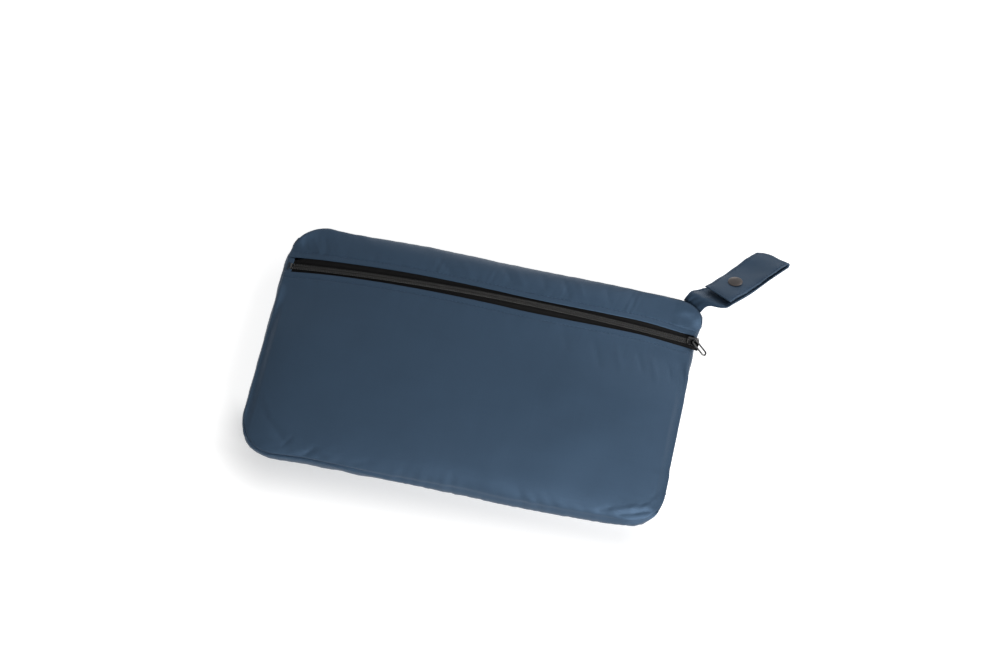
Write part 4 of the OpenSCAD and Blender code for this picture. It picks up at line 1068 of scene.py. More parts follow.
flat_ring = ring_at(BACK_INSET, 0.0)
shares = np.concatenate([[0.004], np.linspace(0.06, 0.94, 16), [0.98]])
BACK_RIM_Z = BACK_SEAM_Z - 0.2
turned_up = [(BACK_INSET, 0.0)] + [
    (mix(TUCK, BACK_INSET, a), b * BACK_RIM_Z) for a, b in
    ((0.80, 0.045), (0.6, 0.13), (0.42, 0.26), (0.25, 0.42), (0.12, 0.62), (0.04, 0.82), (0.0, 1.0))]
back_grid = np.stack([flat_ring * np.array([k, k, 1.0]) for k in shares]
                     + [ring_at(inset, z) for inset, z in turned_up], axis=1)
wave_share = smooth(np.linspace(0, 1, back_grid.shape[1]) / 0.1)[None, :]
waves = ripple(back_grid[..., 0], 70, 31) * ripple(back_grid[..., 1], 50, 32)
back_grid[..., 2] += wave_share * 0.35 * (1 + waves)
back_grid[:, -1, 2] = BACK_RIM_Z
back_grid[:, -4:-1, 2] += 0.25 * ripple(plan_s, 9, 33)[:, None]
back_worn = np.exp(-(BACK_RIM_Z - back_grid[..., 2]) / 1.2) + 0.35 * (back_grid[..., 2] < 0.35)
back_wall = shell("back_wall", back_grid, SHEET_T, pouch_cloth, wrap=True, worn=back_worn)
BINDING_W, BINDING_T, BINDING_IN = 3.4, 1.1, 1.5
in_seam = ring_at(rim[:, 0] + BINDING_IN, 0)[:, :2].T
front_rows = [np.stack([*in_seam, wall_top - 0.3 - BINDING_W * k], axis=-1) for k in (1, 0.5, 0)]
back_rows = [ring_at(TUCK + BINDING_IN - 0.9 * k, BACK_SEAM_Z + 0.3 + BINDING_W * k) for k in (0, 0.5, 1)]
front_tape, back_tape = (shell(name, np.stack(rows, axis=1), BINDING_T, lining_cloth, wrap=True)
                         for name, rows in (("front_seam_tape", front_rows), ("back_seam_tape", back_rows)))
stands_for(back_wall, "back_panel")
stands_for(front_tape, "front_seam_binding")
stands_for(back_tape, "back_seam_binding")
print("back:", len(back_wall.data.polygons), "faces")

# %% [markdown]
# ## Sewing thread
# A row of stitches is a line of short raised dashes whose ends dive into the cloth. Each
# dash is a little five-sided tube with five rings, and one mesh holds a whole row.

# %% Stitches
DASH_SHARES = (0, 0.14, 0.5, 0.86, 1)
DASH_DEPTHS = (-0.22, 0.02, 0.08, 0.02, -0.22)
DASH_SIZES = (0.5, 1, 1.05, 1, 0.5)


def at_distances(path, values, at):
    """What `values`, which a path's points have, are at distances `at` along the path."""
    s = lengths_along(path)
    return np.stack([np.interp(at, s, values[:, k]) for k in range(3)], axis=-1)


def stitches(name, path, normal, finish, pitch=2.9, length=2.3, radius=0.17, sides=6):
    """Dashes along a path; normal has the cloth's outward direction at each point of the path."""
    starts = np.arange(pitch * 0.3, lengths_along(path)[-1] - length, pitch)
    at = starts[:, None] + length * np.array(DASH_SHARES)[None, :]
    middle = at_distances(path, path, at)
    tangent = unit(at_distances(path, path, at + 0.2) - middle)
    up = unit(at_distances(path, normal, at))
    aside = np.cross(tangent, up)
    middle = middle + up * (np.array(DASH_DEPTHS)[None, :, None] + radius * 0.4)
    turn = 2 * np.pi * np.arange(sides)[:, None] / sides
    ring = radius * np.array(DASH_SIZES)[None, :, None, None] * (
        np.cos(turn) * aside[:, :, None, :] + np.sin(turn) * up[:, :, None, :])
    points = (middle[:, :, None, :] + ring).reshape(-1, 3)
    one = tube_faces(len(DASH_SHARES), sides)
    firsts = [d * len(DASH_SHARES) * sides for d in range(len(starts))]
    faces = [face for first in firsts for face in (one + first).tolist()]
    faces += [[first + j for j in range(sides)][::-1] for first in firsts]
    faces += [[first + 4 * sides + j for j in range(sides)] for first in firsts]
    mesh = bpy.data.meshes.new(name)
    mesh.from_pydata((points * MM).tolist(), [], faces)
    values = np.zeros((len(mesh.loops), 3), np.float32)
    values[:, 0] = points[np.array([v for f in faces for v in f]), 0]
    mesh.attributes.new("thread", "FLOAT_VECTOR", "CORNER").data.foreach_set("vector", values.ravel())
    return placed(name, mesh, finish)


def row_at(face, depth):
    """The line across a hemmed panel that lies `depth` mm from its fold, and the normals on it."""
    return (np.array([at_distances(points, values, depth) for points, values in zip(face[:, 5:], grid[:, 5:])])
            for grid in (face, outward(face)))


for name, face in (("lower_hem_stitches", lower_face), ("upper_hem_stitches", upper_face)):
    line, up = row_at(face, HEM_STITCH)
    stands_for(stitches(name, line[3:-3], up[3:-3], thread_cloth), None)
print("hem stitches are", HEM_STITCH, "mm from the folds")

# %% [markdown]
# ## The zipper
# Two woven tapes carry a nylon coil each. A coil is one thread of nylon wound as a flattened
# spring, about 1.27 mm to a turn, and sewn to its tape. The two coils sit half a turn apart,
# so the heads of one fill the gaps of the other. At the slider they part round its post.

# %% Tapes
TAPE_OVER, LEFT_TRIM, COIL_LOW, COIL_HIGH, PITCH = 1.5, 5.4, 0.4, 1.9, 1.27
STOP_L, STOP_GAP, SLIDER_L, SLIDER_ON_STOPS = 1.2, 0.3, 9.0, 1.4
TAPE_END = HALF_W + TAPE_OVER
TAPE_LEFT = LEFT_TRIM - TAPE_END
COIL_LEFT, COIL_RIGHT = TAPE_LEFT + 4, TAPE_END - 1.6
SLIDER_X = TAPE_END - STOP_GAP - STOP_L - STOP_GAP - SLIDER_L / 2 + SLIDER_ON_STOPS


def tape(name, side, node):
    """A tape is woven a little thicker beside its coil, and narrows towards both ends."""
    along = np.linspace(TAPE_LEFT, TAPE_END, 260)[:, None]
    reach = TAPE_HALF - 0.8 - 5.4 * smooth((np.abs(along) - 122) / 24)
    across = side * mix(0.5, reach, np.linspace(0, 1, 12)[None, :])
    up = 0.30 + 0.10 * hill(np.abs(across), 3.1, 0.5) - 0.06 * smooth((np.abs(across) - 9) / 2)
    piece = shell(name, zip_point(along, across, up), 0.55, zip_tape_finish, flip=side < 0)
    stands_for(piece, node)


tape("tape_lower", -1, "zipper_tape_lower")
tape("tape_upper", 1, "zipper_tape_upper")
print("tapes run from", round(TAPE_LEFT), "to", round(TAPE_END), "mm")

# %% Coils
COIL_MID, TURN_MIDDLE, TURN_REACH, WIRE_R = (COIL_LOW + COIL_HIGH) / 2, 1.02, 0.88, 0.30


def squared(wave, power):
    """A sine or cosine drawn towards a square wave, which flattens a round turn."""
    return np.sign(wave) * np.abs(wave) ** power


def coil(name, side, node, points_per_turn=14, sides=6):
    """A wire wound as a flat spring; the upper one, side 1, is half a turn behind the lower."""
    turns = (COIL_RIGHT - COIL_LEFT - 1.0) / PITCH
    t = np.arange(int(turns * points_per_turn)) / points_per_turn
    turn = 2 * np.pi * t
    along = COIL_LEFT + 0.5 + PITCH * (t + (0.5 if side > 0 else 0.0))
    middle = TURN_MIDDLE + 0.55 * smooth((along - SLIDER_X + 0.5) / 2.0)
    across = middle + TURN_REACH * squared(np.cos(turn), 0.8)
    path = zip_point(along, side * across, COIL_MID + 0.45 * squared(np.sin(turn), 0.6))
    tangent = unit(np.gradient(path, axis=0))
    outer = path - zip_point(along, side * middle, np.full_like(along, COIL_MID))
    outer = unit(outer - (outer * tangent).sum(axis=1, keepdims=True) * tangent)
    third = np.cross(tangent, outer)
    around = 2 * np.pi * np.arange(sides) / sides
    rings = path[:, None] + WIRE_R * (np.cos(around)[None, :, None] * outer[:, None] * 0.85
                                      + np.sin(around)[None, :, None] * third[:, None] * 1.15)
    stands_for(loft(name, rings, coil_finish), node)


coil("coil_lower", -1, "zipper_coil_lower")
coil("coil_upper", 1, "zipper_coil_upper")
sewn = np.linspace(COIL_LEFT + 1, SLIDER_X - 4, 420)
COIL_DASHES = {"pitch": 2 * PITCH, "length": 2.2, "radius": 0.13}
for name, side in (("coil_stitches_lower", -1), ("coil_stitches_upper", 1)):
    for k, (across, height) in enumerate(((1.55, 1.92), (3.35, 0.42))):
        path, above = (zip_point(sewn, side * across, np.full_like(sewn, up)) for up in (height, height + 1))
        row = stitches(f"{name}_{k}", path, above - path, zip_tape_finish, **COIL_DASHES)
        stands_for(row, None)
print("coils:", round((COIL_RIGHT - COIL_LEFT) / PITCH), "turns on each side")

# %% [markdown]
# ### Stops, end tab, slider and pull
# A clamped metal stop closes the chain at the left, two small ones hold the slider at the
# right. The slider is two plates on a wedge-shaped post, with side flanges that guide the
# coils and a bridge that holds the pull, which is a plain loop of plated wire.

# %% Tubes and plates
def turned_by(a, b, angle):
    """Two coordinates turned by an angle, from the second towards the first."""
    return a * math.cos(angle) + b * math.sin(angle), b * math.cos(angle) - a * math.sin(angle)


def tube_rings(path, radius, sides=12, up=(0, 0, 1), flat=1.0):
    """Rings round a path of points; flat squeezes them along up."""
    tangent = unit(np.gradient(path, axis=0))
    aside = unit(np.cross(tangent, np.asarray(up, float)))
    third = np.cross(aside, tangent)
    around = 2 * np.pi * np.arange(sides) / sides
    return path[:, None] + radius * (np.cos(around)[None, :, None] * aside[:, None]
                                     + flat * np.sin(around)[None, :, None] * third[:, None])


def plate(name, corners, low, high, finish, bevel=0.22, place=None):
    """A plate with rounded edges from its outline, in mm, moved by place."""
    work = bmesh.new()
    face = work.faces.new([work.verts.new((x, y, low)) for x, y in corners])
    top = bmesh.ops.extrude_face_region(work, geom=[face])
    bmesh.ops.translate(work, verts=[v for v in top["geom"] if isinstance(v, bmesh.types.BMVert)],
                        vec=(0, 0, high - low))
    bmesh.ops.recalc_face_normals(work, faces=work.faces)
    bmesh.ops.bevel(work, geom=list(work.edges), offset=bevel, segments=3, profile=0.5, affect="EDGES")
    mesh = bpy.data.meshes.new(name)
    work.to_mesh(mesh)
    work.free()
    mesh.vertices.foreach_set("co", (place(np.array([v.co for v in mesh.vertices])) * MM).ravel())
    return placed(name, mesh, finish, 50)


def on_zip(along):
    """Moves points whose X runs along the zipper, Y across it and Z up, to a place on it."""
    turn = math.asin(along / ZIP_R)

    def place(points):
        x, y, z = points[..., 0], points[..., 1], points[..., 2]
        y, z = turned_by(y, z, ZIP_TILT)
        x, z = turned_by(x, ZIP_R + z, turn)
        return np.stack([ZIP_X + x, ZIP_Y + y, ZIP_AXIS_Z + z], axis=-1)
    return place


def box_corners(x0, x1, y0, y1):
    return [(x0, y0), (x1, y0), (x1, y1), (x0, y1)]


def both_sides(x0, x1, y0, y1):
    """The outlines of a box on the far side of the zipper's middle and of its mirror image."""
    return [box_corners(x0, x1, *sorted((side * y0, side * y1))) for side in (-1, 1)]


print("plates and tubes are ready")

# %% Stops and end tab
at_left_stop, at_right_stop = on_zip(COIL_LEFT - 0.1 - STOP_L / 2), on_zip(TAPE_END - STOP_GAP - STOP_L / 2)
at_tab = on_zip(TAPE_LEFT + 1.2)
stop = joined("bottom_stop", [
    plate("stop", box_corners(-0.6, 0.6, -2.1, 2.1), 0.3, 1.85, bright_finish, 0.25, at_left_stop),
    plate("stop_claw", box_corners(-0.45, 0.45, -2.5, 2.5), 0.3, 0.9, bright_finish, 0.15, at_left_stop)])
top_stops = joined("top_stops", [
    plate("top_stop", corners, 0.38, 1.85, enamel_finish, 0.25, at_right_stop)
    for corners in both_sides(-0.55, 0.55, 0.62, 2.15)])
tab = plate("end_tab", box_corners(-0.85, 0.85, -3.0, 3.0), 0.36, 1.3, lining_cloth, 0.3, at_tab)
stands_for(stop, "zipper_bottom_stop")
stands_for(top_stops, "zipper_top_stops")
stands_for(tab, "zipper_end_tab")
print("stops and end tab are made")

# %% Slider
SLIDER_W, PLATE_T = 7.6, 1.0
UPPER_Z, LOWER_Z = COIL_HIGH + 0.3, -TAPE_T / 2 - 0.3 - PLATE_T
BRIDGE_R, BRIDGE_FOOT_Z = 1.27, UPPER_Z + 0.7
PIVOT_Z = UPPER_Z + PLATE_T + 1.5
half_l, front, rear = SLIDER_L / 2, SLIDER_W / 2, SLIDER_W / 2 - 0.8
half_plan = [(-half_l, rear - 0.9), (-half_l + 0.35, rear - 0.3), (-half_l + 1.0, rear), (-1.4, rear),
             (0.4, rear + 0.25), (half_l - 3.0, front - 0.1), (half_l - 1.6, front),
             (half_l - 0.6, front - 0.5), (half_l, front - 1.5)]
slider_plan = half_plan + [(x, -y) for x, y in reversed(half_plan)]
half_post = [(0.9, -0.16), (2.0, -0.25), (3.1, -0.25)]
post_plan = half_post + [(x, -y) for x, y in reversed(half_post)]
at_slider = on_zip(SLIDER_X)
bridge_turn = np.radians(np.linspace(-62, 242, 34))
bridge_x, bridge_z = BRIDGE_R * np.cos(bridge_turn), PIVOT_Z + BRIDGE_R * np.sin(bridge_turn)
bridge_path = np.stack([bridge_x, 0 * bridge_turn, bridge_z], axis=1)
bridge_path[0], bridge_path[-1] = (BRIDGE_R, 0, BRIDGE_FOOT_Z), (-BRIDGE_R, 0, BRIDGE_FOOT_Z)
bridge = loft("bridge", at_slider(tube_rings(bridge_path, 0.58, up=(0, 1, 0), flat=0.95)), enamel_finish)
slider = joined("slider", [
    plate(name, corners, low, high, enamel_finish, bevel, at_slider) for name, corners, low, high, bevel in (
        ("slider_top", slider_plan, UPPER_Z, UPPER_Z + PLATE_T, 0.24),
        ("slider_base", slider_plan, LOWER_Z, LOWER_Z + PLATE_T, 0.24),
        ("slider_post", post_plan, LOWER_Z + 0.5, UPPER_Z + 0.5, 0.06),
        *[("slider_flange", corners, COIL_LOW + 0.6, UPPER_Z + 0.5, 0.16)
          for corners in both_sides(-half_l + 0.8, 1.0, rear - 0.75, rear - 0.02)])] + [bridge])
stands_for(slider, "slider_body", "slider")
print("slider is", SLIDER_L, "mm long")

# %% Pull
PULL_L, PULL_HALF, WIRE, HEEL_R = 13.4, 1.6, 0.66, 0.55
PULL_YAW, PULL_DROOP = math.radians(34), math.radians(10)
leg = PULL_L - WIRE - PULL_HALF
bend, back_bend = np.radians(np.linspace(-90, 90, 25)), np.radians(np.linspace(0, 90, 8))
nose = np.stack([leg + PULL_HALF * np.cos(bend), PULL_HALF * np.sin(bend), 0 * bend], axis=1)
heel_x, heel_y = HEEL_R * (1 - np.sin(back_bend)), PULL_HALF - HEEL_R * (1 - np.cos(back_bend))
one_side = np.concatenate([[[leg * 0.66, PULL_HALF, 0], [leg * 0.33, PULL_HALF, 0]],
                           np.stack([heel_x, heel_y, 0 * back_bend], axis=1)])
pull_path = np.concatenate([nose, one_side, (one_side * [1, -1, 1])[::-1], nose[:1]])


def at_pull(points):
    """From the pull's own frame, its eye at the origin and its legs along X, to the slider."""
    x, y, z = points[..., 0], points[..., 1], points[..., 2]
    x, z = turned_by(x, z, PULL_DROOP)
    x, y = turned_by(x, y, PULL_YAW)
    return at_slider(np.stack([x, y, z + PIVOT_Z], axis=-1))


pull_rings = tube_rings(pull_path, WIRE)
pull_rings[-1] = pull_rings[0]
pull = loft("pull_loop_wire", at_pull(pull_rings), bright_finish, closed=False)
work = bmesh.new()
work.from_mesh(pull.data)
bmesh.ops.remove_doubles(work, verts=work.verts, dist=1e-6)
bmesh.ops.recalc_face_normals(work, faces=work.faces)
work.to_mesh(pull.data)
work.free()
stands_for(pull, "pull_loop", "pull")
print("the pull is", PULL_L, "mm long")

# %% [markdown]
# ## The strap loop
# A strap of the pouch's cloth, folded to 25 mm and edge-stitched, is gathered into the
# corner seam. It rises in a hump, dips away, folds over, and comes back on itself, where a
# snap holds it. It is made as two bands that meet under the flap: a flat closed section is
# drawn along a middle line, wide across and rounded at its edges. Each band crosses one
# joint. A line up through the fold, from the lower layer to the upper one, is tilted a
# little, so that it stays between the two.

# %% Places on the loop
STRAP_ROOT = np.array([143.644, 80.4583, 25.8])
ROOT_HEADING, LOOP_HEADING, LOOP_DIP, LOOP_ROLL = (math.radians(a) for a in (55.0, 49.0, 21.0, -27.0))
ROOT_SIDE = np.array([math.sin(ROOT_HEADING), -math.cos(ROOT_HEADING), 0])
ROOT_OUT = np.array([math.cos(ROOT_HEADING), math.sin(ROOT_HEADING), 0])
STRAP_HALF, ROOT_HALF, PLY, LOOP_L, FOLD_R, FLAP_N, SNAP_X = 12.5, 6.0, 1.4, 61.0, 1.8, 3.6, 19.0
END_ROW = 2.0
LOOP_START = STRAP_ROOT + np.array([16.5, 5.5, 4.0])
STRAP_ROW, STRAP_DASHES = 1.9, {"pitch": 2.6, "length": 2.0, "radius": 0.15}


def loop_axis(x, y, z):
    """A direction of the loop's own frame, rolled, dipped and then headed, in the part's."""
    z, y = turned_by(z, y, LOOP_ROLL)
    x, z = turned_by(x, z, LOOP_DIP)
    y, x = turned_by(y, x, LOOP_HEADING)
    return np.array([x, y, z])


LOOP_ALONG, LOOP_LEFT, LOOP_FACE = loop_axis(1, 0, 0), loop_axis(0, 1, 0), loop_axis(0, 0, 1)


def on_loop(x, left, face):
    """A place on the loop: along it from the flap's free end, across it, and out of its face."""
    x, left, face = (np.asarray(v, float)[..., None] for v in (x, left, face))
    return LOOP_START + x * LOOP_ALONG + left * LOOP_LEFT + face * LOOP_FACE


def bezier(a, b, c, d, t):
    t = t[:, None]
    return (1 - t) ** 3 * a + 3 * t * (1 - t) ** 2 * b + 3 * t * t * (1 - t) * c + t ** 3 * d


print("the loop points", [round(v, 2) for v in LOOP_ALONG], "and faces", [round(v, 2) for v in LOOP_FACE])

# %% Bands of cloth
BAND_SIDES = 26
ACROSS = np.cos(np.pi * np.arange(BAND_SIDES + 1) / BAND_SIDES)


def faces_up(centres, halves):
    """The direction in which each place of a band faces."""
    return unit(np.cross(np.gradient(centres, axis=0), halves))


def band(name, centres, halves, thickness, finish, edge=14.0, lift=0.0, thin=0.0, move=0.0):
    """A flat closed section along a line. halves lead to its left edge; lift moves both faces
    out and thin moves them together, both for each ring and each place across."""
    up = faces_up(centres, halves)
    half_t = np.broadcast_to(np.asarray(thickness, float), len(centres))[:, None] / 2
    profile = half_t * np.sqrt(1 - np.abs(ACROSS) ** edge)[None, :]
    lift, thin = np.broadcast_to(lift, profile.shape), np.broadcast_to(thin, profile.shape)
    profile = np.maximum(profile - thin, 0.02 * (np.abs(ACROSS) < 0.999))
    line = centres[:, None] + ACROSS[None, :, None] * halves[:, None] + lift[..., None] * up[:, None] + move
    top, low = line + profile[..., None] * up[:, None], line - profile[..., None] * up[:, None]
    rings = np.concatenate([top, low[:, -2:0:-1]], axis=1)
    rubbed = np.exp(-(1 - np.abs(ACROSS)) * np.linalg.norm(halves, axis=1).mean() / 0.8)
    return loft(name, rings, finish, worn=np.concatenate([rubbed, rubbed[-2:0:-1]])[None, :])


def edge_groove(half_width, inset, depth):
    """The dent of a row of stitches near each edge."""
    return depth * hill(half_width * (1 - np.abs(ACROSS)), inset, 0.6)[None, :]


def swayed(x, across):
    """How the whole loop is bent besides its main line: its edges droop by the snap, its far
    left corner is lifted and drawn back, and the fold bows out in its middle."""
    x, across = np.broadcast_arrays(x, across)
    left = np.maximum(across, 0)
    droop = -1.5 * across ** 2 * hill(x, 22, 15) + 0.4 * left ** 2 * hill(x, 47, 9)
    droop = droop - 1.4 * (1 - across ** 2) * hill(x, 36, 12)
    far = smooth((x - 40) / 20)
    forward = far * (-1.4 * (1 - across ** 2) - 6.8 * left ** 2 + 0.6 * np.minimum(across, 0) ** 2)
    inward = -0.7 * left * hill(x, 6, 9)
    return droop[..., None] * LOOP_FACE + forward[..., None] * LOOP_ALONG + inward[..., None] * LOOP_LEFT


print("a band has", BAND_SIDES, "places across")

# %% The hump and the lower ply
HUMP_RISE = math.radians(50)
hump_out = ROOT_OUT * math.cos(HUMP_RISE) + np.array([0, 0, math.sin(HUMP_RISE)])
t = np.linspace(0, 1, 44)
hump = bezier(STRAP_ROOT, STRAP_ROOT + 9 * hump_out, LOOP_START - 7 * LOOP_ALONG, LOOP_START, t)
hump_half = -mix(ROOT_HALF * ROOT_SIDE, -STRAP_HALF * LOOP_LEFT, smooth(t * 1.15)[:, None])
SEWN_IN = np.array([3.0, 1.5])[:, None]
straight = np.linspace(1.5, 46, 30)
under_line = np.concatenate([STRAP_ROOT - SEWN_IN * hump_out, hump, on_loop(straight, 0, 0)])
under_half = np.concatenate([hump_half[:1], hump_half[:1], hump_half, np.repeat(hump_half[-1:], 30, axis=0)])
under_far = lengths_along(under_line)[:, None]
under_x = np.concatenate([np.full(46, 0.0), straight])[:, None]
pleats = 0.42 * np.cos(ACROSS * 11 + 0.6)[None, :] * np.exp(-under_far / 9) * smooth(under_far / 2)
cupped = 0.5 * (ACROSS ** 2)[None, :] * hill(under_far, 14, 9)
full = hill(under_far, 19, 8.5) * (0.5 + 0.5 * ACROSS)[None, :] * smooth(under_far / 5)
full = full * (1 - smooth(under_x / 14))
loose = hill(under_far, 4.5, 4.2) * np.maximum(-ACROSS, 0)[None, :] ** 2
FULL_BY, LOOSE_BY = 3.5 * LOOP_LEFT - 0.3 * LOOP_FACE, np.array([1.4, -3.4, -0.4])
under_move = full[..., None] * FULL_BY + loose[..., None] * LOOSE_BY
under_move = under_move + swayed(under_x, ACROSS[None, :]) * smooth(under_x / 8)[..., None]
strap_under = band("strap_under", under_line, under_half, PLY, strap_cloth, lift=pleats - cupped,
                   thin=edge_groove(STRAP_HALF, STRAP_ROW, 0.16), move=under_move)
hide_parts("strap_lower")
print("lower ply is", round(float(under_far[-1, 0])), "mm long")

# %% The fold and the flap
turn = np.linspace(0, np.pi, 22)[1:-1]
flap_x = np.concatenate([np.linspace(61, 58, 7), np.linspace(56.5, 3, 36), [1.8, 0.9, 0.35, 0.0]])
over_x = np.concatenate([np.linspace(46, 61, 12), LOOP_L + FOLD_R * np.sin(turn), flap_x])
over_n = np.concatenate([np.zeros(12), FOLD_R * (1 - np.cos(turn)), np.full(len(flap_x), FLAP_N)])
over_line = on_loop(over_x, 0, over_n)
on_flap = (over_n > FLAP_N - 0.01)[:, None] * smooth((LOOP_L - over_x) / 8)[:, None]
dimple = 0.5 * hill(over_x[:, None], SNAP_X, 9) * hill(ACROSS[None, :] * STRAP_HALF, 0, 8)
buckled = 0.20 * np.sin(over_x[:, None] * 0.42 + 2.2 * ACROSS[None, :]) * (ACROSS[None, :] ** 2)
over_lift = -on_flap * (0.3 - dimple + buckled)
over_move = swayed(over_x[:, None], ACROSS[None, :])
end_round = np.sqrt(clamp(1 - clamp(1 - over_x / 0.8) ** 2 * (over_n > 2)))
over_half = STRAP_HALF * LOOP_LEFT[None] * (1 - 0.02 * (1 - end_round))[:, None]
end_groove = 0.16 * hill(over_x[:, None], END_ROW, 0.6) * on_flap
strap_over = band("strap_over", over_line, over_half, PLY * (0.25 + 0.75 * end_round), strap_cloth,
                  lift=over_lift, thin=edge_groove(STRAP_HALF, STRAP_ROW, 0.16) + end_groove, move=over_move)
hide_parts("strap_flap")
print("flap is", LOOP_L, "mm long")


# %% Stitches of the strap
def band_line(line, half, lift, move, place, side):
    """A row on a band's face: place is its share across, and side is +1 for the up face."""
    up = faces_up(line, half)
    raised = np.array([np.interp(place, ACROSS[::-1], row[::-1]) for row in lift])
    moved = np.array([[np.interp(place, ACROSS[::-1], row[::-1, k]) for k in range(3)] for row in move])
    return line + place * half + up * (raised + side * THREAD_N)[:, None] + moved, up * side


THREAD_N = PLY / 2 - 0.12
EDGE_SHARE = 1 - STRAP_ROW / STRAP_HALF
rows_under, rows_over = [], []
for place in (-EDGE_SHARE, EDGE_SHARE):
    line, up = band_line(under_line, under_half, pleats - cupped, under_move, place, 1)
    rows_under.append(stitches("under_row", line[4:], up[4:], thread_cloth, **STRAP_DASHES))
    line, up = band_line(over_line, over_half, over_lift, over_move, place, -1)
    rows_over.append(stitches("over_row", line[32:-4], up[32:-4], thread_cloth, **STRAP_DASHES))
across = np.linspace(-EDGE_SHARE, EDGE_SHARE, 30)
row = int(np.argmin(np.abs(flap_x - END_ROW))) + 32
lift_row = np.interp(across, ACROSS[::-1], over_lift[row][::-1])
line = on_loop(END_ROW, across * STRAP_HALF, FLAP_N + THREAD_N - lift_row) + swayed(END_ROW, across)
up = np.repeat(LOOP_FACE[None], 30, axis=0)
rows_over.append(stitches("end_row", line, up, thread_cloth, **STRAP_DASHES))
under_stitches, over_stitches = joined("strap_stitches", rows_under), joined("flap_stitches", rows_over)
print("strap has", len(rows_under) + len(rows_over), "rows of stitches")


# %% The strap's pieces are baked in place
def metres(point):
    return tuple(float(v) * MM for v in point)


for piece in (strap_under, under_stitches):
    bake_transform(piece)
FOLD_TILT, FOLD_STARTS, FOLD_ENDS = 0.045, 1.4, 2.85
through_fold = LOOP_FACE - FOLD_TILT * LOOP_ALONG
metres(on_loop(LOOP_L, 0, 0) + FOLD_STARTS * through_fold)
metres(on_loop(LOOP_L, 0, 0) + FOLD_ENDS * through_fold)
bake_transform(strap_over)
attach(over_stitches, "flap")

# %% [markdown]
# ### Where the strap is sewn on
# The strap's end is a tab on the side wall, under the seam, with a box of stitches.

# %% Sewn end
CORNER_R, TAB_OVER, TAB_PLACES, TAB_STEPS = 18.26, 2.2, 15, 12
corner_middle = STRAP_ROOT[:2] - CORNER_R * ROOT_OUT[:2]
tab_z = np.linspace(25.0, 18.8, TAB_STEPS)
tab_r = CORNER_R + TAB_OVER - wall_inset(up_the_wall(tab_z))
tab_turn = ROOT_HEADING + ROOT_HALF / CORNERS["top_right"] * np.linspace(1, -1, TAB_PLACES)
tab_grid = np.stack([corner_middle[0] + tab_r[None, :] * np.cos(tab_turn)[:, None],
                     corner_middle[1] + tab_r[None, :] * np.sin(tab_turn)[:, None],
                     np.broadcast_to(tab_z, (TAB_PLACES, TAB_STEPS))], axis=-1)
sewn_end = shell("strap_sewn_end", tab_grid, 1.3, strap_cloth)
tab_normal = normals_of(tab_grid)
tab_rows, tab_ups = ([grid[i, 1:-1] for i in (1, -2)] + [grid[1:-1, j] for j in (1, -2)]
                     for grid in (tab_grid, tab_normal))
box_stitches = joined("sewn_end_stitches", [
    stitches("box", line, up, thread_cloth, pitch=2.0, length=1.5, radius=0.14)
    for line, up in zip(tab_rows, tab_ups)])
stands_for(sewn_end, "strap_anchor")
stands_for(box_stitches, None)
print("sewn end faces", [round(float(v), 2) for v in tab_normal[7, 6]])

# %% [markdown]
# ### The snap
# A snap has four pieces that are pressed together through the cloth: a domed cap with a
# socket under it on the flap, and a stud with a washer under it on the strap. They are all
# round, so each is turned from a profile, like work on a lathe.

# %% Turned metal pieces
def turned(name, profile, lift, finish, turns=56):
    """A round piece on the snap's axis from (radius, height) points."""
    around = 2 * np.pi * np.arange(turns) / turns
    rings = [on_loop(SNAP_X + r * np.cos(around), r * np.sin(around), np.full(turns, lift + z))
             for r, z in profile]
    return loft(name, rings, finish)


def rounded(points, r=0.15, steps=4):
    """A profile whose inner corners are cut to small rounds."""
    points = [np.array(p, float) for p in points]
    out = [points[0]]
    for a, b, c in zip(points, points[1:], points[2:]):
        ra = min(r, 0.45 * np.linalg.norm(b - a), 0.45 * np.linalg.norm(c - b))
        p, q = b + (a - b) / np.linalg.norm(a - b) * ra, b + (c - b) / np.linalg.norm(c - b) * ra
        for k in range(steps + 1):
            f = k / steps
            out.append((1 - f) ** 2 * p + 2 * f * (1 - f) * b + f * f * q)
    return out + [points[-1]]


CAP_R, CAP_H, CAP_RIM, DOME_TURN, RING_R, SHANK_R, STUD_R = 5.2, 1.2, 0.25, 1.25, 4.4, 1.2, 1.9
dome = [(CAP_R * math.sin(a) / math.sin(DOME_TURN),
         CAP_RIM + (CAP_H - CAP_RIM) * (math.cos(a) - math.cos(DOME_TURN)) / (1 - math.cos(DOME_TURN)))
        for a in np.linspace(0.01, DOME_TURN, 16)]
shank = [(SHANK_R, 0.0), (SHANK_R - 0.1, -PLY), (0.02, -PLY)]
snap_cap = turned("snap_cap_turned", dome + rounded([
    (CAP_R, CAP_RIM), (CAP_R - 0.05, 0.0), (CAP_R - 0.7, -0.02)] + shank), FLAP_N + PLY / 2, gunmetal_finish)
snap_socket = turned("snap_socket_turned", rounded([
    (STUD_R + 0.3, 1.28), (STUD_R + 0.3, 0.1), (STUD_R + 0.7, 0.0), (3.1, 0.05), (3.3, 0.45), (3.9, 0.5),
    (4.15, 0.15), (RING_R, 0.3), (RING_R, 1.28), (STUD_R + 0.3, 1.28)], 0.12),
    FLAP_N - PLY / 2 - 1.3, gunmetal_finish)
snap_stud = turned("snap_stud_turned", rounded([
    (0.02, 1.8), (1.2, 1.8), (STUD_R, 1.5), (STUD_R, 1.25), (STUD_R - 0.4, 1.0), (STUD_R - 0.4, 0.55),
    (2.7, 0.45), (3.2, 0.2), (3.7, 0.5), (RING_R, 0.35), (RING_R, 0.0)] + shank, 0.14),
    PLY / 2, gunmetal_finish)
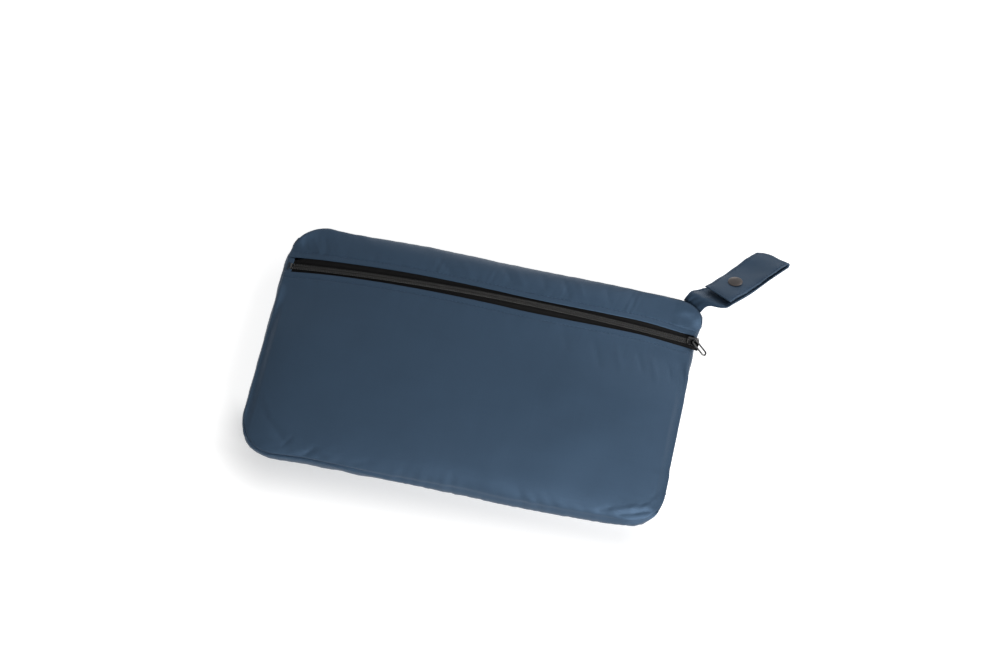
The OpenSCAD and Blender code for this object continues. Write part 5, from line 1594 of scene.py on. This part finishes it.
snap_back = turned("snap_washer_turned", rounded([
    (0.02, 0.3), (1.0, 0.3), (1.4, 0.6), (RING_R, 0.6), (RING_R, 0.25), (3.7, 0.0), (1.9, 0.1), (1.4, 0.35),
    (0.7, 0.2), (0.02, 0.2)], 0.12), -PLY / 2 - 0.6, gunmetal_finish)
for piece, node, body in ((snap_cap, "snap_cap", "flap"), (snap_socket, "snap_socket", "flap"),
                          (snap_stud, "snap_stud", "strap"), (snap_back, "snap_back", "strap")):
    stands_for(piece, node, body)
print("snap cap is", 2 * CAP_R, "mm across")

# %% [markdown]
# ## The carrier inside
# In the pouch lie the padded waist belt, the body panel, two padded shoulder straps and the
# head support, each folded back and forth, with the webbing in hanks on top. A folded piece
# is a band along a line that runs to and fro with round turns. A padded one is a cover with
# foam in it: the cover is two closed skins, one in the other, and the foam lies in the inner
# one with a little room.

# %% Folded bands
FOLD_GAP = 0.3


def to_and_fro(length, pitch, layers, start_z, trim):
    """The middle line of a folded band in X and Z, with its first turn at +X, and both of its
    ends `trim` mm short."""
    line = []
    steps = max(3, int(length / 4.0))
    for k in range(layers):
        side = 1 if k % 2 == 0 else -1
        x = np.linspace(-length / 2, length / 2, steps)[::side]
        if k == 0:
            x = x[:-1] + (x[-1] - x[:-1]) / length * trim
        elif k == layers - 1:
            x = x[1:] + (x[0] - x[1:]) / length * trim
        else:
            x = x[1:-1]
        line += [(v, start_z + k * pitch) for v in x]
        if k < layers - 1:
            middle_z, r = start_z + (k + 0.5) * pitch, pitch / 2
            line += [(side * (length / 2 + r * np.cos(a)), middle_z + r * np.sin(a))
                     for a in np.linspace(-np.pi / 2, np.pi / 2, 14)]
    return np.array(line)


def folded_band(name, length, width, thick, layers, at, finish, edge,
                trim=0.0, round_end=0.0, seed=None, groove=0.0):
    """A band folded to and fro. thick has the room that a layer takes and what the band fills
    of it, a higher edge keeps that thickness nearer to its edges, and seed draws its waves."""
    x, y, z = at
    line = to_and_fro(length, thick[0] + FOLD_GAP, layers, z + thick[0] / 2, trim)
    centres = np.stack([x + line[:, 0], np.full(len(line), y), line[:, 1]], axis=1)
    halves = np.repeat([[0, width / 2, 0]], len(line), axis=0)
    far = lengths_along(centres)
    end = np.minimum(far, far[-1] - far)
    share = 1 if not round_end else np.sqrt(clamp(1 - (1 - clamp(end / round_end)) ** 2)) * 0.92 + 0.08
    thin = groove * edge_groove(width / 2, 2.5, 1.0)
    if seed is not None:
        wave = ripple(far, 34, seed)[:, None] * ripple(ACROSS * width / 2, 22, seed + 1)[None, :]
        thin = thin + 0.16 * (1 + wave) * (1 - ACROSS ** 6)[None, :]
    return band(name, centres, halves, thick[1] * share, finish, edge=edge, thin=thin)


print("bands fold with", FOLD_GAP, "mm between their layers")

# %% Pads
PAD_T, COVER_T, FOAM_GAP = 5.4, 0.8, 0.2
FOAM_ROOM = COVER_T + FOAM_GAP
BELT_Z, BODY_Z, SHOULDER_Z, HANK_Z = 1.5, 12.9, 22.1, 34.5
for name, length, width, at, cover_node, foam_node, seed in (
        ("waist_pad", 250, 118, (0, -6, BELT_Z), "waist_belt_cover", "waist_belt_foam", 41),
        ("shoulder_pad_left", 186, 50, (0, -48, SHOULDER_Z),
         "shoulder_cover_left", "shoulder_foam_left", 44),
        ("shoulder_pad_right", 186, 50, (0, 4.5, SHOULDER_Z),
         "shoulder_cover_right", "shoulder_foam_right", 47)):
    outside, inside, foam = (
        folded_band(part, length, width - 2 * skin, (PAD_T, PAD_T - 2 * skin), 2, at, finish, *rest)
        for part, skin, finish, rest in ((name + "_cover", 0, pouch_cloth, (5, 0, 3.0, seed, 0.5)),
                                         ("inside", COVER_T, pouch_cloth, (5, 1.0, 2.5)),
                                         (name + "_foam", FOAM_ROOM, padding.material, (6, 1.3, 2.0))))
    inside.data.flip_normals()
    cover = joined(name + "_cover", [outside, inside])
    for piece, node, slot in ((cover, cover_node, "pouch_cloth"), (foam, foam_node, "foam")):
        stands_for(piece, node)
print("pads are", PAD_T, "mm thick with their covers")

# %% Folded panels
PANEL_T = 2.0
for name, length, width, layers, at, finish, edge, seed, node, slot, flat in (
        ("folded_body_panel", 256, 138, 4, (0, 0, BODY_Z), pouch_cloth, 24, 51, "body_panel",
         "pouch_cloth", (0.138, 1.028)),
        ("folded_head_support", 196, 43, 4, (0, 53.5, SHOULDER_Z), lining_cloth, 18, 54, "head_support",
         "pouch_cloth", (0.043, 0.790))):
    piece = folded_band(name, length, width, (PANEL_T, PANEL_T), layers, at, finish, edge, seed=seed)
    stands_for(piece, node)

# %% Webbing and its keepers
WEBBING_T, KEEPER_T, KEEPER_GAP, KEEPER_CORNER, KEEPER_HALF = 1.3, 0.8, 0.2, 1.0, 6


def keeper(name, at, width, height):
    """A ribbed band of elastic round a hank, with rounded corners."""
    half_w = width / 2 + KEEPER_GAP + KEEPER_T
    right, top = half_w - KEEPER_CORNER, height - KEEPER_CORNER
    turns = np.radians(np.linspace(0, 90, 6))
    corners = ((right, top), (-right, top), (-right, KEEPER_CORNER), (right, KEEPER_CORNER))
    loop = np.array([(y + KEEPER_CORNER * math.cos(a), z + KEEPER_CORNER * math.sin(a))
                     for k, (y, z) in enumerate(corners) for a in turns + k * np.pi / 2])
    x = np.linspace(-KEEPER_HALF, KEEPER_HALF, 13)
    ribs = 0.06 * np.cos(x * 2.1)[None, :] * (loop[:, 1:] > height / 2)
    grid = np.stack([at[0] + x + 0 * loop[:, :1], at[1] + loop[:, :1] + 0 * x,
                     at[2] - KEEPER_CORNER + loop[:, 1:] - ribs], axis=-1)
    return shell(name, grid, KEEPER_T, elastic_finish, wrap=True)


hanks = (("waist_hank", 66, 25, 4, (-38, 22, HANK_Z), "waist_webbing"),
         ("shoulder_hank_left", 66, 25, 3, (-38, -34, HANK_Z), "shoulder_webbing_left"),
         ("shoulder_hank_right", 40, 25, 3, (71.4, -34, HANK_Z), "shoulder_webbing_right"),
         ("chest_hank", 44, 20, 3, (-49, -6.5, HANK_Z), "chest_strap"))
keepers = []
for name, length, width, layers, at, node in hanks:
    hank = folded_band(name, length, width, (WEBBING_T, WEBBING_T - 0.04), layers, at, webbing_finish, 20)
    stands_for(hank, node)
    stack = layers * WEBBING_T + (layers - 1) * FOLD_GAP
    keepers.append(keeper(name + "_keeper", at, width, stack + 2 * (KEEPER_T + KEEPER_GAP)))
stands_for(joined("elastic_keepers", keepers), "webbing_keepers")
for node in ("waist_buckle_socket", "waist_buckle_tongue", "chest_clip_socket", "chest_clip_tongue",
             "shoulder_buckle_left", "shoulder_buckle_right"):
    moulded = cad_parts[node]
    moulded.data.materials.clear()
    moulded.data.materials.append(acetal_finish)
print("hanks:", len(hanks), "and keepers:", len(keepers))
